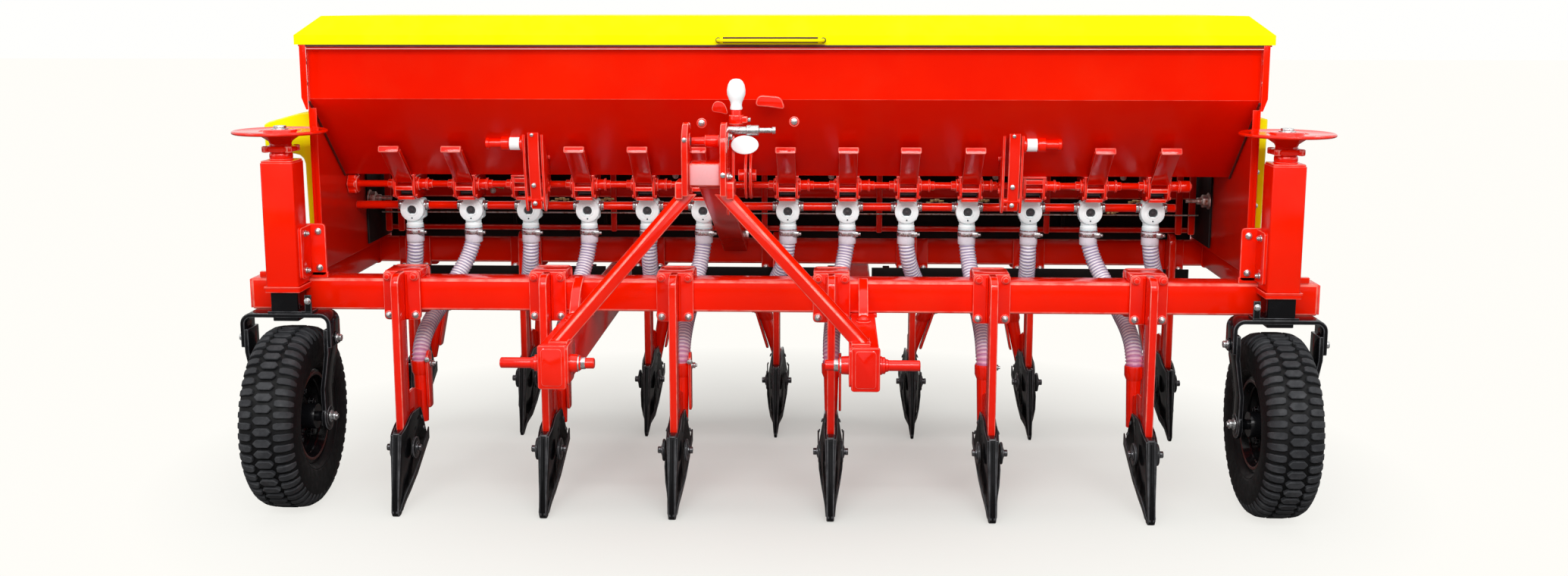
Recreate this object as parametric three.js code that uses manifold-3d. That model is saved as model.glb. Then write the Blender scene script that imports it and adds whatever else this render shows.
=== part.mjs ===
// A tractor-mounted seed drill: two cross bars carry thirteen clamped tines with hoe openers, a trough
// hopper with a lid feeds thirteen outlets and hoses, and two screw-adjusted wheels set the working depth.
// Millimetres, +X to the right and +Y to the rear seen from the tractor, +Z up, ground at Z = 0.
// The tines, wheels and hopper are laid out from the front bar's centre line; the last lines move the
// whole machine so that its origin lies at the bottom centre of its box.
import * as THREE from "three";
import { mergeVertices } from "three/addons/utils/BufferGeometryUtils.js";
import Module from "manifold-3d";

const wasm = await Module();
wasm.setup();

// ---- Driving dimensions ----
const GAP = 0.3; // between pieces that touch
const WHEEL_SIDES = 24; // tyre and rim alike, so that their facets meet
const HOOP_SIDES = 20; // sides of a handwheel
const ROD_SIDES = 12; // sides of a rod or boss

const BAR_SIZE = 75; // square section of the cross bars and side members
const BAR_TOP = 536.5;
const BAR_OVERHANG = 107; // from a column's centre to the end of the front bar
const BAR_SPACING = 672; // front bar centre to rear bar centre

const TINE_X_FRONT = [-882, -539, -241, 123, 493, 853];
const TINE_X_REAR = [-1040, -728, -384, -29, 344, 664, 1043];
const SHANK_WIDTH = 18;
const SHANK_DEPTH = 60;
const CLAMP_WIDTH = 86;
const CLAMP_PLATE = 11;
const CLAMP_REACH = 20.5; // how far a clamp plate stands above and below the bar
const CLAMP_BOLT_RADIUS = 6;
const OPENER_HALF_WIDTH = 28;
const OPENER_PLATE = 6;
const BOOT_RADIUS = 18;
const BOOT_SETBACK = 85; // from the bar centre to the seed boot
const BOOT_TOP = 300;
const BOOT_BOTTOM = 160;
const BOOT_LEAN_REAR = [27, 14, 26, -42, 46, -28, -26]; // how far the top of each rear boot leans sideways

const HOPPER_HALF_LENGTH = 1108; // centre to the inside of an end plate
const SHEET = 4; // sheet thickness of the hopper and end plates
const HOPPER_FRONT = 40; // outer face of the front wall
const HOPPER_DEPTH = 600; // front wall to rear wall, outside
const HOPPER_RIM = 1078.7;
const HOPPER_CREASE = 952; // where the upright walls turn inwards
const HOPPER_FLOOR = 749; // underside of the floor
const FLOOR_WIDTH = 144;
const RIM_LIP = 18;
const END_PLATE_FOOT = 68; // width of the flange that an end plate stands on
const POST_WIDTH = 40;

const LID_RISE = 66;
const LID_SKIRT = 22;
const LID_SLOPE = 50; // sideways run of the sloping edge
const LID_SHEET = 3;
const LID_OVERHANG = 2; // past the rim lip
const HANDLE_X = -20;
const HANDLE_HALF = 126;
const HANDLE_REACH = 22;
const HANDLE_ROD = 10;
const HINGE_RADIUS = 8;
const HINGE_X = [-760, 0, 760];
const KNUCKLE_LENGTH = 60;

const OUTLET_X = [-958, -805, -656, -504, -350, -207, 10, 162, 313, 468, 626, 778, 935];
const OUTLET_SETBACK = 10; // outlets behind the middle of the hopper
const OUTLET_Z = 650;
const OUTLET_RADIUS = 28;
const OUTLET_DEPTH = 52;
const SPOUT_RADIUS = 24;
const SPOUT_BOTTOM = 604;
const FEED_WIDTH = 54;
const FEED_PLATE = 6;
const FEED_BOTTOM = 682;
const FEED_SLOT_TOP = 706;
const FEED_SHAFT_RADIUS = 8.5;
const FEED_DEPTH = 122; // a feed housing, front to back
const FEED_SHAFT_SETBACK = 30; // from the front of a housing
const FEED_SHAFT_Z = 722;
const FEED_SHAFT_RIGHT_END = 1020;
const OUTLET_SHAFT_RADIUS = 10.5;
const OUTLET_SHAFT_Z = 660;
const HOSE_DIAMETER = 40;

const QUADRANT_X = [-604, 558];
const QUADRANT_GAP = 38; // between the two plates of a quadrant
const QUADRANT_PLATE = 6;

const MAST_X = -157; // hitch centre line
const MAST_INSIDE = 70; // between the mast plates
const MAST_PLATE = 14;
const MAST_FRONT = -215;
const MAST_BACK = -115;
const MAST_TOP = 915;
const MAST_BOTTOM = 756;
const MAST_BLOCK_BOTTOM = 776;
const MAST_BLOCK_TOP = 826;
const BRACE_SIZE = 28;
const MAST_BEAM_X = -144;
const MAST_BEAM_WIDTH = 66;
const MAST_BEAM_HEIGHT = 40;
const SHAFT_CLEARANCE = 12; // between the beam and the outlet shaft over it

const ARM_LEFT_X = -466; // centre lines of the two lower arms
const ARM_RIGHT_X = 196;
const ARM_WIDTH = 56;
const ARM_HEIGHT = 92;
const ARM_FRONT = -400;
const ARM_PIN_Y = -366;
const ARM_PIN_Z = 417;
const ARM_PIN_RADIUS = 11;
const ARM_PIN_LONG = 88; // the long end of a lower pin, past its arm
const ARM_PIN_SHORT = 58;

const COLUMN_OFFSET = 32; // from the inside of an end plate to the centre of a column
const COLUMN_SIZE = 75;
const COLUMN_WALL = 5;
const COLUMN_HEIGHT = 299;
const COLUMN_CAP = 8;
const COLUMN_COLLAR = 14;
const BRACKET_WIDTH = 162;
const BRACKET_HEIGHT = 130;
const BRACKET_THICKNESS = 10;
const HANDWHEEL_RADIUS = 106;
const HANDWHEEL_RISE = 73; // top of its rim above the column

const LEG_CLEARANCE = 0.8; // leg to column wall
const LEG_HIDDEN = 229; // length of leg inside its column
const LEG_SHOWING = 50; // between the fork and the column
const TYRE_TO_FORK = 28; // above the tyre
const FORK_SIDE_ROOM = 31; // beside the tyre, under the arch
const FORK_BAR = 10;
const FORK_DEPTH = 50;
const FORK_SHOULDER_DROP = 81; // from the top of the arch to the end of its own legs
const WHEEL_RADIUS = 214;
const LEVEL_WHEEL_RADIUS = 214; // the wheel with which the openers just stand on the ground
const TYRE_WIDTH = 130;
const LEG_BAR_GAP = 9; // tyre wall to the bars that carry the axle
const RIM_RADIUS = 101.6;
const RIM_WIDTH = 92;
const RIM_FLANGE = 2.5;
const AXLE_RADIUS = 12.5;
const AXLE_CLEARANCE = 0.5;
const HUB_HALF = 54; // half the length of the wheel hub

const GUARD_DEPTH = 300;
const GUARD_FRONT = 100;

// ---- Values that follow ----
const BAR_BOTTOM = BAR_TOP - BAR_SIZE;
const HALF_BAR = BAR_SIZE / 2;
const COLUMN_X = HOPPER_HALF_LENGTH + COLUMN_OFFSET;
const SIDE_MEMBER_INNER = COLUMN_X;
const FRONT_BAR_LENGTH = 2 * (COLUMN_X + BAR_OVERHANG);
const COLUMN_Y = -HALF_BAR - GAP - COLUMN_SIZE / 2;
const HOPPER_REAR = HOPPER_FRONT + HOPPER_DEPTH;
const HOPPER_MIDDLE = HOPPER_FRONT + HOPPER_DEPTH / 2;
const PLATE_OUTER = HOPPER_HALF_LENGTH + SHEET;
const OUTLET_Y = HOPPER_MIDDLE + OUTLET_SETBACK;
const FEED_BACK = OUTLET_Y + 34;
const FEED_FRONT = FEED_BACK - FEED_DEPTH;
const LIFT = 2 * (WHEEL_RADIUS - LEVEL_WHEEL_RADIUS); // how far other wheels raise the frame
const FORK_TOP = 2 * WHEEL_RADIUS + TYRE_TO_FORK + FORK_BAR;
const FORK_SHOULDER = FORK_TOP - FORK_SHOULDER_DROP;
const COLUMN_BOTTOM = FORK_TOP + LEG_SHOWING;
const COLUMN_TOP = COLUMN_BOTTOM + COLUMN_HEIGHT;
const LEG_TOP = COLUMN_BOTTOM + LEG_HIDDEN;
const HANDWHEEL_Z = COLUMN_TOP + HANDWHEEL_RISE;

// ---- Finishes ----
const finish = (color, roughness, metalness) =>
  new THREE.MeshStandardMaterial({ color, roughness, metalness });
const RED = finish(0xff2600, 0.35, 0.1);
const YELLOW = finish(0xfff000, 0.35, 0.05);
const BLACK = finish(0x0c0d10, 0.4, 0.2);
const RUBBER = finish(0x1b1c1f, 0.85, 0);
const WHITE = finish(0xf2f2f2, 0.45, 0);
const HOSE = finish(0xc9bfd8, 0.3, 0);

// ---- Solids ----
function solid(geometry) {
  const bare = geometry.index ? geometry.toNonIndexed() : geometry.clone();
  bare.deleteAttribute("normal");
  bare.deleteAttribute("uv");
  const merged = mergeVertices(bare, 1e-3);
  const corners = merged.index.array;
  const kept = [];
  for (let i = 0; i < corners.length; i += 3) {
    const [a, b, c] = [corners[i], corners[i + 1], corners[i + 2]];
    if (a !== b && b !== c && c !== a) kept.push(a, b, c);
  }
  return new wasm.Manifold(
    new wasm.Mesh({
      numProp: 3,
      vertProperties: merged.attributes.position.array,
      triVerts: new Uint32Array(kept),
    }),
  );
}

const join = (...solids) => solids.flat().reduce((all, piece) => all.add(piece));

function block([x0, x1], [y0, y1], [z0, z1]) {
  const geometry = new THREE.BoxGeometry(x1 - x0, y1 - y0, z1 - z0);
  return solid(geometry.translate((x0 + x1) / 2, (y0 + y1) / 2, (z0 + z1) / 2));
}

// An outline pushed along an axis: [y, z] points along X, [x, z] points along Y, [x, y] points along Z.
const TURNS = {
  X: [new THREE.Vector3(0, 1, 0), new THREE.Vector3(0, 0, 1), new THREE.Vector3(1, 0, 0)],
  Y: [new THREE.Vector3(0, 0, 1), new THREE.Vector3(1, 0, 0), new THREE.Vector3(0, 1, 0)],
  Z: [new THREE.Vector3(1, 0, 0), new THREE.Vector3(0, 1, 0), new THREE.Vector3(0, 0, 1)],
};
function plate(axis, outline, from, to) {
  const points = outline.map(([u, v]) => (axis === "Y" ? new THREE.Vector2(v, u) : new THREE.Vector2(u, v)));
  const geometry = new THREE.ExtrudeGeometry(new THREE.Shape(points), { depth: to - from, bevelEnabled: false });
  const [right, up, along] = TURNS[axis];
  geometry.translate(0, 0, from);
  return solid(geometry.applyMatrix4(new THREE.Matrix4().makeBasis(right, up, along)));
}

function arc([u, v], radius, fromDegrees, toDegrees, steps) {
  return Array.from({ length: steps + 1 }, (_, i) => {
    const angle = THREE.MathUtils.degToRad(fromDegrees + ((toDegrees - fromDegrees) * i) / steps);
    return [u + radius * Math.cos(angle), v + radius * Math.sin(angle)];
  });
}

function rod(axis, radius, from, to, [u, v], sides = ROD_SIDES) {
  const circle = arc([u, v], radius, 0, 360, sides).slice(0, sides);
  return plate(axis, circle, from, to);
}

// A [radius, height] profile turned about Z, or about X with height along it. It may run either way round.
function turned(profile, sides, axis = "Z") {
  const outline = profile.map(([r, h]) => new THREE.Vector2(r, h));
  if (THREE.ShapeUtils.isClockWise(outline)) outline.reverse();
  const geometry = new THREE.LatheGeometry(outline, sides);
  if (axis === "Z") geometry.rotateX(Math.PI / 2);
  else geometry.rotateZ(-Math.PI / 2);
  return solid(geometry);
}

// A straight bar of rectangular section between two points, its width kept level.
function beam(from, to, width, height) {
  const start = new THREE.Vector3(...from);
  const along = new THREE.Vector3(...to).sub(start);
  const length = along.length();
  along.normalize();
  const across = new THREE.Vector3().crossVectors(along, new THREE.Vector3(0, 0, 1));
  if (across.length() < 1e-6) across.set(1, 0, 0); // a bar that stands upright
  across.normalize();
  const over = new THREE.Vector3().crossVectors(across, along);
  const geometry = new THREE.BoxGeometry(width, length, height).translate(0, length / 2, 0);
  geometry.applyMatrix4(new THREE.Matrix4().makeBasis(across, along, over));
  return solid(geometry.translate(...from));
}

// A folded sheet: the outline of a polyline thickened to its left.
function folded(points, thickness) {
  const normals = points.slice(1).map(([u, v], i) => {
    const du = u - points[i][0];
    const dv = v - points[i][1];
    const length = Math.hypot(du, dv);
    return [-dv / length, du / length];
  });
  const inner = points.map(([u, v], i) => {
    const a = normals[Math.max(0, i - 1)];
    const b = normals[Math.min(normals.length - 1, i)];
    const spread = thickness / (1 + a[0] * b[0] + a[1] * b[1]);
    return [u + (a[0] + b[0]) * spread, v + (a[1] + b[1]) * spread];
  });
  return [...points, ...inner.reverse()];
}

function node(name, piece, material, parent) {
  const { vertProperties, triVerts, numProp } = piece.getMesh();
  const geometry = new THREE.BufferGeometry();
  const vertices = new THREE.InterleavedBuffer(vertProperties, numProp);
  geometry.setAttribute("position", new THREE.InterleavedBufferAttribute(vertices, 3, 0));
  geometry.setIndex(new THREE.BufferAttribute(triVerts, 1));
  const plain = geometry.toNonIndexed();
  plain.computeVertexNormals();
  const mesh = new THREE.Mesh(plain, material);
  mesh.name = name;
  parent.add(mesh);
  return mesh;
}

const machine = new THREE.Group();
const hoses = new THREE.Group();

// The two ends of the machine: the left one is the right one mirrored.
const ENDS = [
  ["right", 1],
  ["left", -1],
].map(([name, sign]) => {
  const group = new THREE.Group();
  group.scale.x = sign;
  machine.add(group);
  return [name, group];
});

// ---- Frame: two cross bars, two side members ----
function crossBar(length) {
  return block([-length / 2, length / 2], [-HALF_BAR, HALF_BAR], [BAR_BOTTOM, BAR_TOP]);
}
const sideOuter = SIDE_MEMBER_INNER + BAR_SIZE;
node("front_bar", crossBar(FRONT_BAR_LENGTH), RED, machine);
node("rear_bar", crossBar(2 * sideOuter), RED, machine).position.y = BAR_SPACING;
const sideMember = block(
  [SIDE_MEMBER_INNER, sideOuter],
  [HALF_BAR + GAP, BAR_SPACING - HALF_BAR - GAP],
  [BAR_BOTTOM, BAR_TOP],
);
for (const [side, group] of ENDS) node(`side_member_${side}`, sideMember, RED, group);

// ---- Tines: clamp, shank, seed boot and opener about the centre of the bar ----
function tine(lean = 0) {
  const half = CLAMP_WIDTH / 2;
  const seat = HALF_BAR + GAP;
  const outer = seat + CLAMP_PLATE;
  const low = BAR_BOTTOM - CLAMP_REACH;
  const high = BAR_TOP + CLAMP_REACH;
  const clampOutline = [
    [-outer, low],
    [-seat, low],
    [-seat, BAR_TOP + GAP],
    [seat, BAR_TOP + GAP],
    [seat, low],
    [outer, low],
    [outer, high],
    [-outer, high],
  ];
  const clamp = plate("X", clampOutline, -half, half);
  const boltX = half - 12;
  const boltZ = BAR_BOTTOM - GAP - CLAMP_BOLT_RADIUS;
  const bolts = [-boltX, boltX].map((x) =>
    block(
      [x - CLAMP_BOLT_RADIUS, x + CLAMP_BOLT_RADIUS],
      [-outer - 8, outer + 12],
      [boltZ - CLAMP_BOLT_RADIUS, boltZ + CLAMP_BOLT_RADIUS],
    ),
  );
  const shankFront = -outer - SHANK_DEPTH;
  const shank = plate(
    "X",
    [
      [-outer + 1, high],
      ...arc([shankFront + 24, high - 24], 24, 90, 180, 2),
      [shankFront, 120],
      [-outer + 1, 120],
    ],
    -SHANK_WIDTH / 2,
    SHANK_WIDTH / 2,
  );
  const nose = shankFront - 66;
  const side = plate(
    "X",
    [
      [shankFront - 34, 188],
      [nose, 12],
      [nose + 8, 0],
      [nose + 24, 0],
      [-60, 60],
      [26, 127],
      [20, 213],
      [-50, 216],
    ],
    -OPENER_HALF_WIDTH,
    OPENER_HALF_WIDTH,
  );
  const wedge = (front, tip, back, tail) =>
    plate(
      "Z",
      [
        [-tip, front],
        [tip, front],
        [tail, back],
        [-tail, back],
      ],
      -10,
      230,
    );
  const outside = wedge(nose, 8, 30, OPENER_HALF_WIDTH);
  const inside = wedge(-outer, OPENER_HALF_WIDTH - 14, 40, OPENER_HALF_WIDTH - OPENER_PLATE);
  const opener = side.intersect(outside).subtract(inside);
  const boot = beam(
    [lean, BOOT_SETBACK, BOOT_TOP],
    [0, BOOT_SETBACK, BOOT_BOTTOM],
    2 * BOOT_RADIUS,
    2 * BOOT_RADIUS,
  );
  const web = block([-4, 4], [-outer, BOOT_SETBACK], [190, 250]);
  return join(clamp, bolts, shank, opener, boot, web);
}
const frontTine = tine();
TINE_X_FRONT.forEach((x, i) => node(`front_tine_${i + 1}`, frontTine, RED, machine).position.set(x, 0, 0));
TINE_X_REAR.forEach((x, i) =>
  node(`rear_tine_${i + 1}`, tine(BOOT_LEAN_REAR[i]), RED, machine).position.set(x, BAR_SPACING, 0),
);

// ---- Hopper: folded front and rear walls, a floor, and end plates that stand on the side members ----
const floorFront = HOPPER_MIDDLE - FLOOR_WIDTH / 2;
const wallLine = [
  [HOPPER_FRONT - RIM_LIP, HOPPER_RIM - SHEET],
  [HOPPER_FRONT, HOPPER_RIM - SHEET],
  [HOPPER_FRONT, HOPPER_CREASE],
  [floorFront, HOPPER_FLOOR],
];
const wallHalf = HOPPER_HALF_LENGTH - GAP;
const wallSlope = (HOPPER_CREASE - HOPPER_FLOOR) / (floorFront - HOPPER_FRONT);
const lidRear = HOPPER_REAR + RIM_LIP + LID_OVERHANG;
const hingeY = lidRear + HINGE_RADIUS + 2;
const hingeZ = HOPPER_RIM + 2;
const frontWall = plate("X", folded(wallLine, SHEET), -wallHalf, wallHalf);
node("hopper_front", frontWall, RED, machine);
const rearLine = wallLine.map(([y, z]) => [2 * HOPPER_MIDDLE - y, z]).reverse();
const hingeFixed = HINGE_X.flatMap((x) =>
  [x - KNUCKLE_LENGTH / 2 - 1 - 30, x + KNUCKLE_LENGTH / 2 + 1].map((left) =>
    join(
      rod("X", HINGE_RADIUS, left, left + 30, [hingeY, hingeZ]),
      block([left, left + 30], [HOPPER_REAR + RIM_LIP - 3, hingeY], [HOPPER_RIM - SHEET, HOPPER_RIM - 1]),
    ),
  ),
);
node("hopper_rear", join(plate("X", folded(rearLine, SHEET), -wallHalf, wallHalf), hingeFixed), RED, machine);
node(
  "hopper_floor",
  block([-wallHalf, wallHalf], [floorFront + SHEET, floorFront + FLOOR_WIDTH - SHEET], [HOPPER_FLOOR, HOPPER_FLOOR + SHEET]),
  RED,
  machine,
);
const plateFoot = BAR_TOP + GAP;
const endPlate = join(
  block([HOPPER_HALF_LENGTH, PLATE_OUTER], [HOPPER_FRONT, HOPPER_REAR - GAP], [plateFoot, HOPPER_RIM]),
  block([HOPPER_HALF_LENGTH, PLATE_OUTER + RIM_LIP], [HOPPER_FRONT, HOPPER_REAR - GAP], [HOPPER_RIM - SHEET, HOPPER_RIM]),
  block([HOPPER_HALF_LENGTH - 14, PLATE_OUTER], [HOPPER_FRONT, HOPPER_FRONT + SHEET], [plateFoot, HOPPER_CREASE - 22]),
  block([HOPPER_HALF_LENGTH, PLATE_OUTER + END_PLATE_FOOT], [HOPPER_FRONT, HOPPER_REAR - GAP], [plateFoot, plateFoot + SHEET]),
  block([PLATE_OUTER - 1, PLATE_OUTER + POST_WIDTH], [HOPPER_REAR - 60, HOPPER_REAR - 52], [plateFoot, HOPPER_CREASE]),
);
for (const [side, group] of ENDS) node(`end_plate_${side}`, endPlate, RED, group);

// ---- Lid: a hipped cover of thin sheet, hinged along the rear rim ----
function hippedBlock(halfX, [y0, y1], [z0, skirt, z1], slope) {
  const corners = (inset, z) => [
    [-halfX + inset, y0 + inset, z],
    [halfX - inset, y0 + inset, z],
    [halfX - inset, y1 - inset, z],
    [-halfX + inset, y1 - inset, z],
  ];
  const rings = [corners(0, z0), corners(0, skirt), corners(slope, z1)];
  const positions = [];
  const quad = (a, b, c, d) => positions.push(...a, ...b, ...c, ...a, ...c, ...d);
  quad(rings[0][3], rings[0][2], rings[0][1], rings[0][0]);
  quad(...rings[2]);
  for (const [lower, upper] of [rings.slice(0, 2), rings.slice(1)])
    for (let i = 0; i < 4; i++) quad(lower[i], lower[(i + 1) % 4], upper[(i + 1) % 4], upper[i]);
  const geometry = new THREE.BufferGeometry();
  geometry.setAttribute("position", new THREE.Float32BufferAttribute(positions, 3));
  return solid(geometry);
}
const lidHalf = PLATE_OUTER + RIM_LIP + LID_OVERHANG;
const lidFront = HOPPER_FRONT - RIM_LIP - LID_OVERHANG;
const lidBottom = HOPPER_RIM + GAP;
const lidHeights = [lidBottom, lidBottom + LID_SKIRT, lidBottom + LID_RISE];
const innerHeights = [lidBottom - 1, lidBottom + LID_SKIRT - 1, lidBottom + LID_RISE - LID_SHEET];
const lidShell = hippedBlock(lidHalf, [lidFront, lidRear], lidHeights, LID_SLOPE).subtract(
  hippedBlock(
    lidHalf - RIM_LIP,
    [lidFront + RIM_LIP, lidRear - RIM_LIP],
    innerHeights,
    LID_SLOPE - RIM_LIP + LID_SHEET,
  ),
);
const knuckles = HINGE_X.map((x) =>
  join(
    rod("X", HINGE_RADIUS, x - KNUCKLE_LENGTH / 2, x + KNUCKLE_LENGTH / 2, [hingeY, hingeZ]),
    block([x - KNUCKLE_LENGTH / 2, x + KNUCKLE_LENGTH / 2], [lidRear - 3, hingeY], [lidBottom + 2, hingeZ + HINGE_RADIUS - 2]),
  ),
);
node("lid", join(lidShell, knuckles), YELLOW, machine);
const handleHeights = [lidBottom + 6, lidBottom + 6 + HANDLE_ROD];
const handle = join(
  block([-HANDLE_HALF, HANDLE_HALF], [lidFront - HANDLE_REACH, lidFront - HANDLE_REACH + HANDLE_ROD], handleHeights),
  [-HANDLE_HALF, HANDLE_HALF - HANDLE_ROD].map((x) =>
    block([x, x + HANDLE_ROD], [lidFront - HANDLE_REACH, lidFront - GAP], handleHeights),
  ),
);
node("lid_handle", handle, YELLOW, machine).position.x = HANDLE_X;

// ---- Chain guards outside the end plates; the left one has a hood over the drive wheel ----
const guardInner = PLATE_OUTER + GAP;
const guardBack = GUARD_FRONT + GUARD_DEPTH;
const narrowGuard = [
  [guardInner, 560],
  [guardInner + 30, 560],
  [guardInner + 34, 905],
  [guardInner, 910],
];
const hoodedGuard = [
  [guardInner, 560],
  [guardInner + 32, 560],
  [guardInner + 36, 790],
  ...arc([guardInner + 60, 792], 24, 180, 90, 3),
  [guardInner + 122, 824],
  [guardInner + 132, 836],
  [guardInner + 132, 886],
  [guardInner + 120, 893],
  [guardInner + 44, 914],
  [guardInner, 917],
];
for (const [side, group] of ENDS) {
  const outline = side === "left" ? hoodedGuard : narrowGuard;
  node(`chain_guard_${side}`, plate("Y", outline, GUARD_FRONT, guardBack), YELLOW, group);
}

// ---- Feed row: one housing, arm and pad for each outlet, joined by the feed shaft ----
function feedUnit(x) {
  const hasArm = QUADRANT_X.every((place) => Math.abs(place - x) > 75);
  const half = FEED_WIDTH / 2;
  const outline = [
    [FEED_FRONT, HOPPER_FLOOR - GAP],
    [FEED_FRONT, 700],
    [FEED_FRONT + 48, FEED_BOTTOM],
    [FEED_BACK, FEED_BOTTOM],
    [FEED_BACK, HOPPER_FLOOR - GAP],
  ];
  const slot = block([x - half + FEED_PLATE, x + half - FEED_PLATE], [FEED_FRONT - 12, FEED_FRONT + 50], [FEED_BOTTOM - 10, FEED_SLOT_TOP]);
  const housing = plate("X", outline, x - half, x + half).subtract(slot);
  const armFoot = HOPPER_FLOOR - 15;
  const armHead = armFoot + 85 * wallSlope;
  const arm = plate(
    "X",
    folded(
      [
        [FEED_FRONT + 4, armFoot],
        [FEED_FRONT - 92, armHead],
        [FEED_FRONT - 114, armHead],
        [FEED_FRONT - 114, armHead + 22],
      ].reverse(),
      FEED_PLATE,
    ),
    x - half + 4,
    x + half - 4,
  );
  return join(housing, hasArm ? arm : []);
}
const feedShaft = rod("X", FEED_SHAFT_RADIUS, -wallHalf, FEED_SHAFT_RIGHT_END, [FEED_FRONT + FEED_SHAFT_SETBACK, FEED_SHAFT_Z], 8);
node("feed_row", join(feedShaft, OUTLET_X.map(feedUnit)), RED, machine);

// ---- Outlet row: round outlet fittings with spouts, joined by the outlet shaft ----
function outlet(x) {
  const front = OUTLET_Y - OUTLET_DEPTH / 2;
  const eye = rod("Y", OUTLET_RADIUS, front, front + OUTLET_DEPTH, [x, OUTLET_Z]);
  const spout = rod("Z", SPOUT_RADIUS, SPOUT_BOTTOM, OUTLET_Z, [x, OUTLET_Y], 8);
  return join(eye, spout);
}
const outletShaft = rod(
  "X",
  OUTLET_SHAFT_RADIUS,
  -wallHalf,
  OUTLET_X.at(-1) + 60,
  [OUTLET_Y, OUTLET_SHAFT_Z],
  8,
);
node("outlet_row", join(outletShaft, OUTLET_X.map(outlet)), WHITE, machine);

// ---- Quadrants that set the seed rate, hung from the hopper's front wall ----
function quadrant(stubSign) {
  const outline = [
    [100, 870],
    [108, 892],
    [150, 892],
    [185, 850],
    [218, 790],
    [222, 758],
    [200, 700],
    [172, 668],
    [156, 668],
    [120, 740],
    [102, 820],
  ].map(([y, z]) => [HOPPER_FRONT + y, z]);
  const half = QUADRANT_GAP / 2;
  const cheeks = [-half - QUADRANT_PLATE, half].map((left) => plate("X", outline, left, left + QUADRANT_PLATE));
  const spacer = block([-half, half], [HOPPER_FRONT + 118, HOPPER_FRONT + 146], [700, 884]);
  const stubFrom = half + QUADRANT_PLATE - 1;
  const stub = join(
    rod("X", 22, stubFrom, stubFrom + 52, [HOPPER_FRONT + 136, 838]),
    rod("X", 10, stubFrom + 50, stubFrom + 92, [HOPPER_FRONT + 136, 838], 12),
  );
  const turnedStub = stubSign > 0 ? stub : stub.mirror([1, 0, 0]);
  return join(cheeks, spacer, turnedStub);
}
const hopperSection = [
  [HOPPER_FRONT, HOPPER_RIM],
  [HOPPER_FRONT, HOPPER_CREASE],
  [floorFront, HOPPER_FLOOR],
  [HOPPER_REAR, HOPPER_FLOOR],
  [HOPPER_REAR, HOPPER_RIM],
];
QUADRANT_X.forEach((x, i) => {
  const name = ["left", "right"][i];
  const keepClear = plate("X", hopperSection, -200, 200).translate([0, -GAP, -GAP]);
  node(`quadrant_${name}`, quadrant(i ? 1 : -1).subtract(keepClear), RED, machine).position.x = x;
});

// ---- Hitch: mast plates with a block between them, a beam to the rear bar, two braces and two arms ----
const mastHalf = MAST_INSIDE / 2;
const mastRound = (MAST_BACK - MAST_FRONT) / 2;
const mastOutline = [
  [MAST_BACK, MAST_BOTTOM],
  ...arc([(MAST_FRONT + MAST_BACK) / 2, MAST_TOP - mastRound], mastRound, 0, 180, 8),
  [MAST_FRONT, MAST_BOTTOM],
];
const linkHole = rod("X", 10, -200, 200, [(MAST_FRONT + MAST_BACK) / 2, MAST_TOP - mastRound + 8]);
const mast = join(
  plate("X", mastOutline, -mastHalf - MAST_PLATE, -mastHalf),
  plate("X", mastOutline, mastHalf, mastHalf + MAST_PLATE),
  block([-mastHalf, mastHalf], [MAST_FRONT + 20, MAST_BACK], [MAST_BLOCK_BOTTOM, MAST_BLOCK_TOP]),
).subtract(linkHole);
node("hitch_mast", mast, RED, machine).position.x = MAST_X;

const beamEnd = BAR_SPACING - HALF_BAR - GAP;
const beamTop = MAST_BLOCK_TOP - 24; // below the top of the block, where the beam is welded to it
const beamLine = (y) => beamTop + ((BAR_TOP - beamTop) * (y - MAST_BACK - GAP)) / (beamEnd - MAST_BACK - GAP);
const kneeTop = Math.min(beamLine(OUTLET_Y), OUTLET_SHAFT_Z - OUTLET_SHAFT_RADIUS - SHAFT_CLEARANCE);
const beamOutline = [
  [MAST_BACK + GAP, beamTop - MAST_BEAM_HEIGHT],
  [OUTLET_Y, kneeTop - MAST_BEAM_HEIGHT],
  [beamEnd, BAR_TOP - MAST_BEAM_HEIGHT],
  [beamEnd, BAR_TOP],
  [OUTLET_Y, kneeTop],
  [MAST_BACK + GAP, beamTop],
];
const mastBeam = plate("X", beamOutline, -MAST_BEAM_WIDTH / 2, MAST_BEAM_WIDTH / 2);
node("mast_beam", mastBeam, RED, machine).position.x = MAST_BEAM_X;

const armTop = BAR_BOTTOM - GAP;
const armBottom = armTop - ARM_HEIGHT;
const armBack = BAR_SPACING + HALF_BAR;
function arm(pinSign) {
  const half = ARM_WIDTH / 2;
  const tube = block([-half, half], [ARM_FRONT, armBack], [armBottom, armTop]);
  const pin = join(
    rod("X", ARM_PIN_RADIUS, -half - ARM_PIN_SHORT, half + ARM_PIN_LONG, [ARM_PIN_Y, ARM_PIN_Z]),
    rod("X", ARM_PIN_RADIUS + 8, -half - 24, half + 14, [ARM_PIN_Y, ARM_PIN_Z], 12),
  );
  return join(tube, pinSign > 0 ? pin : pin.mirror([1, 0, 0]));
}
node("hitch_arm_left", arm(-1), RED, machine).position.x = ARM_LEFT_X;
node("hitch_arm_right", arm(1), RED, machine).position.x = ARM_RIGHT_X;

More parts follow.
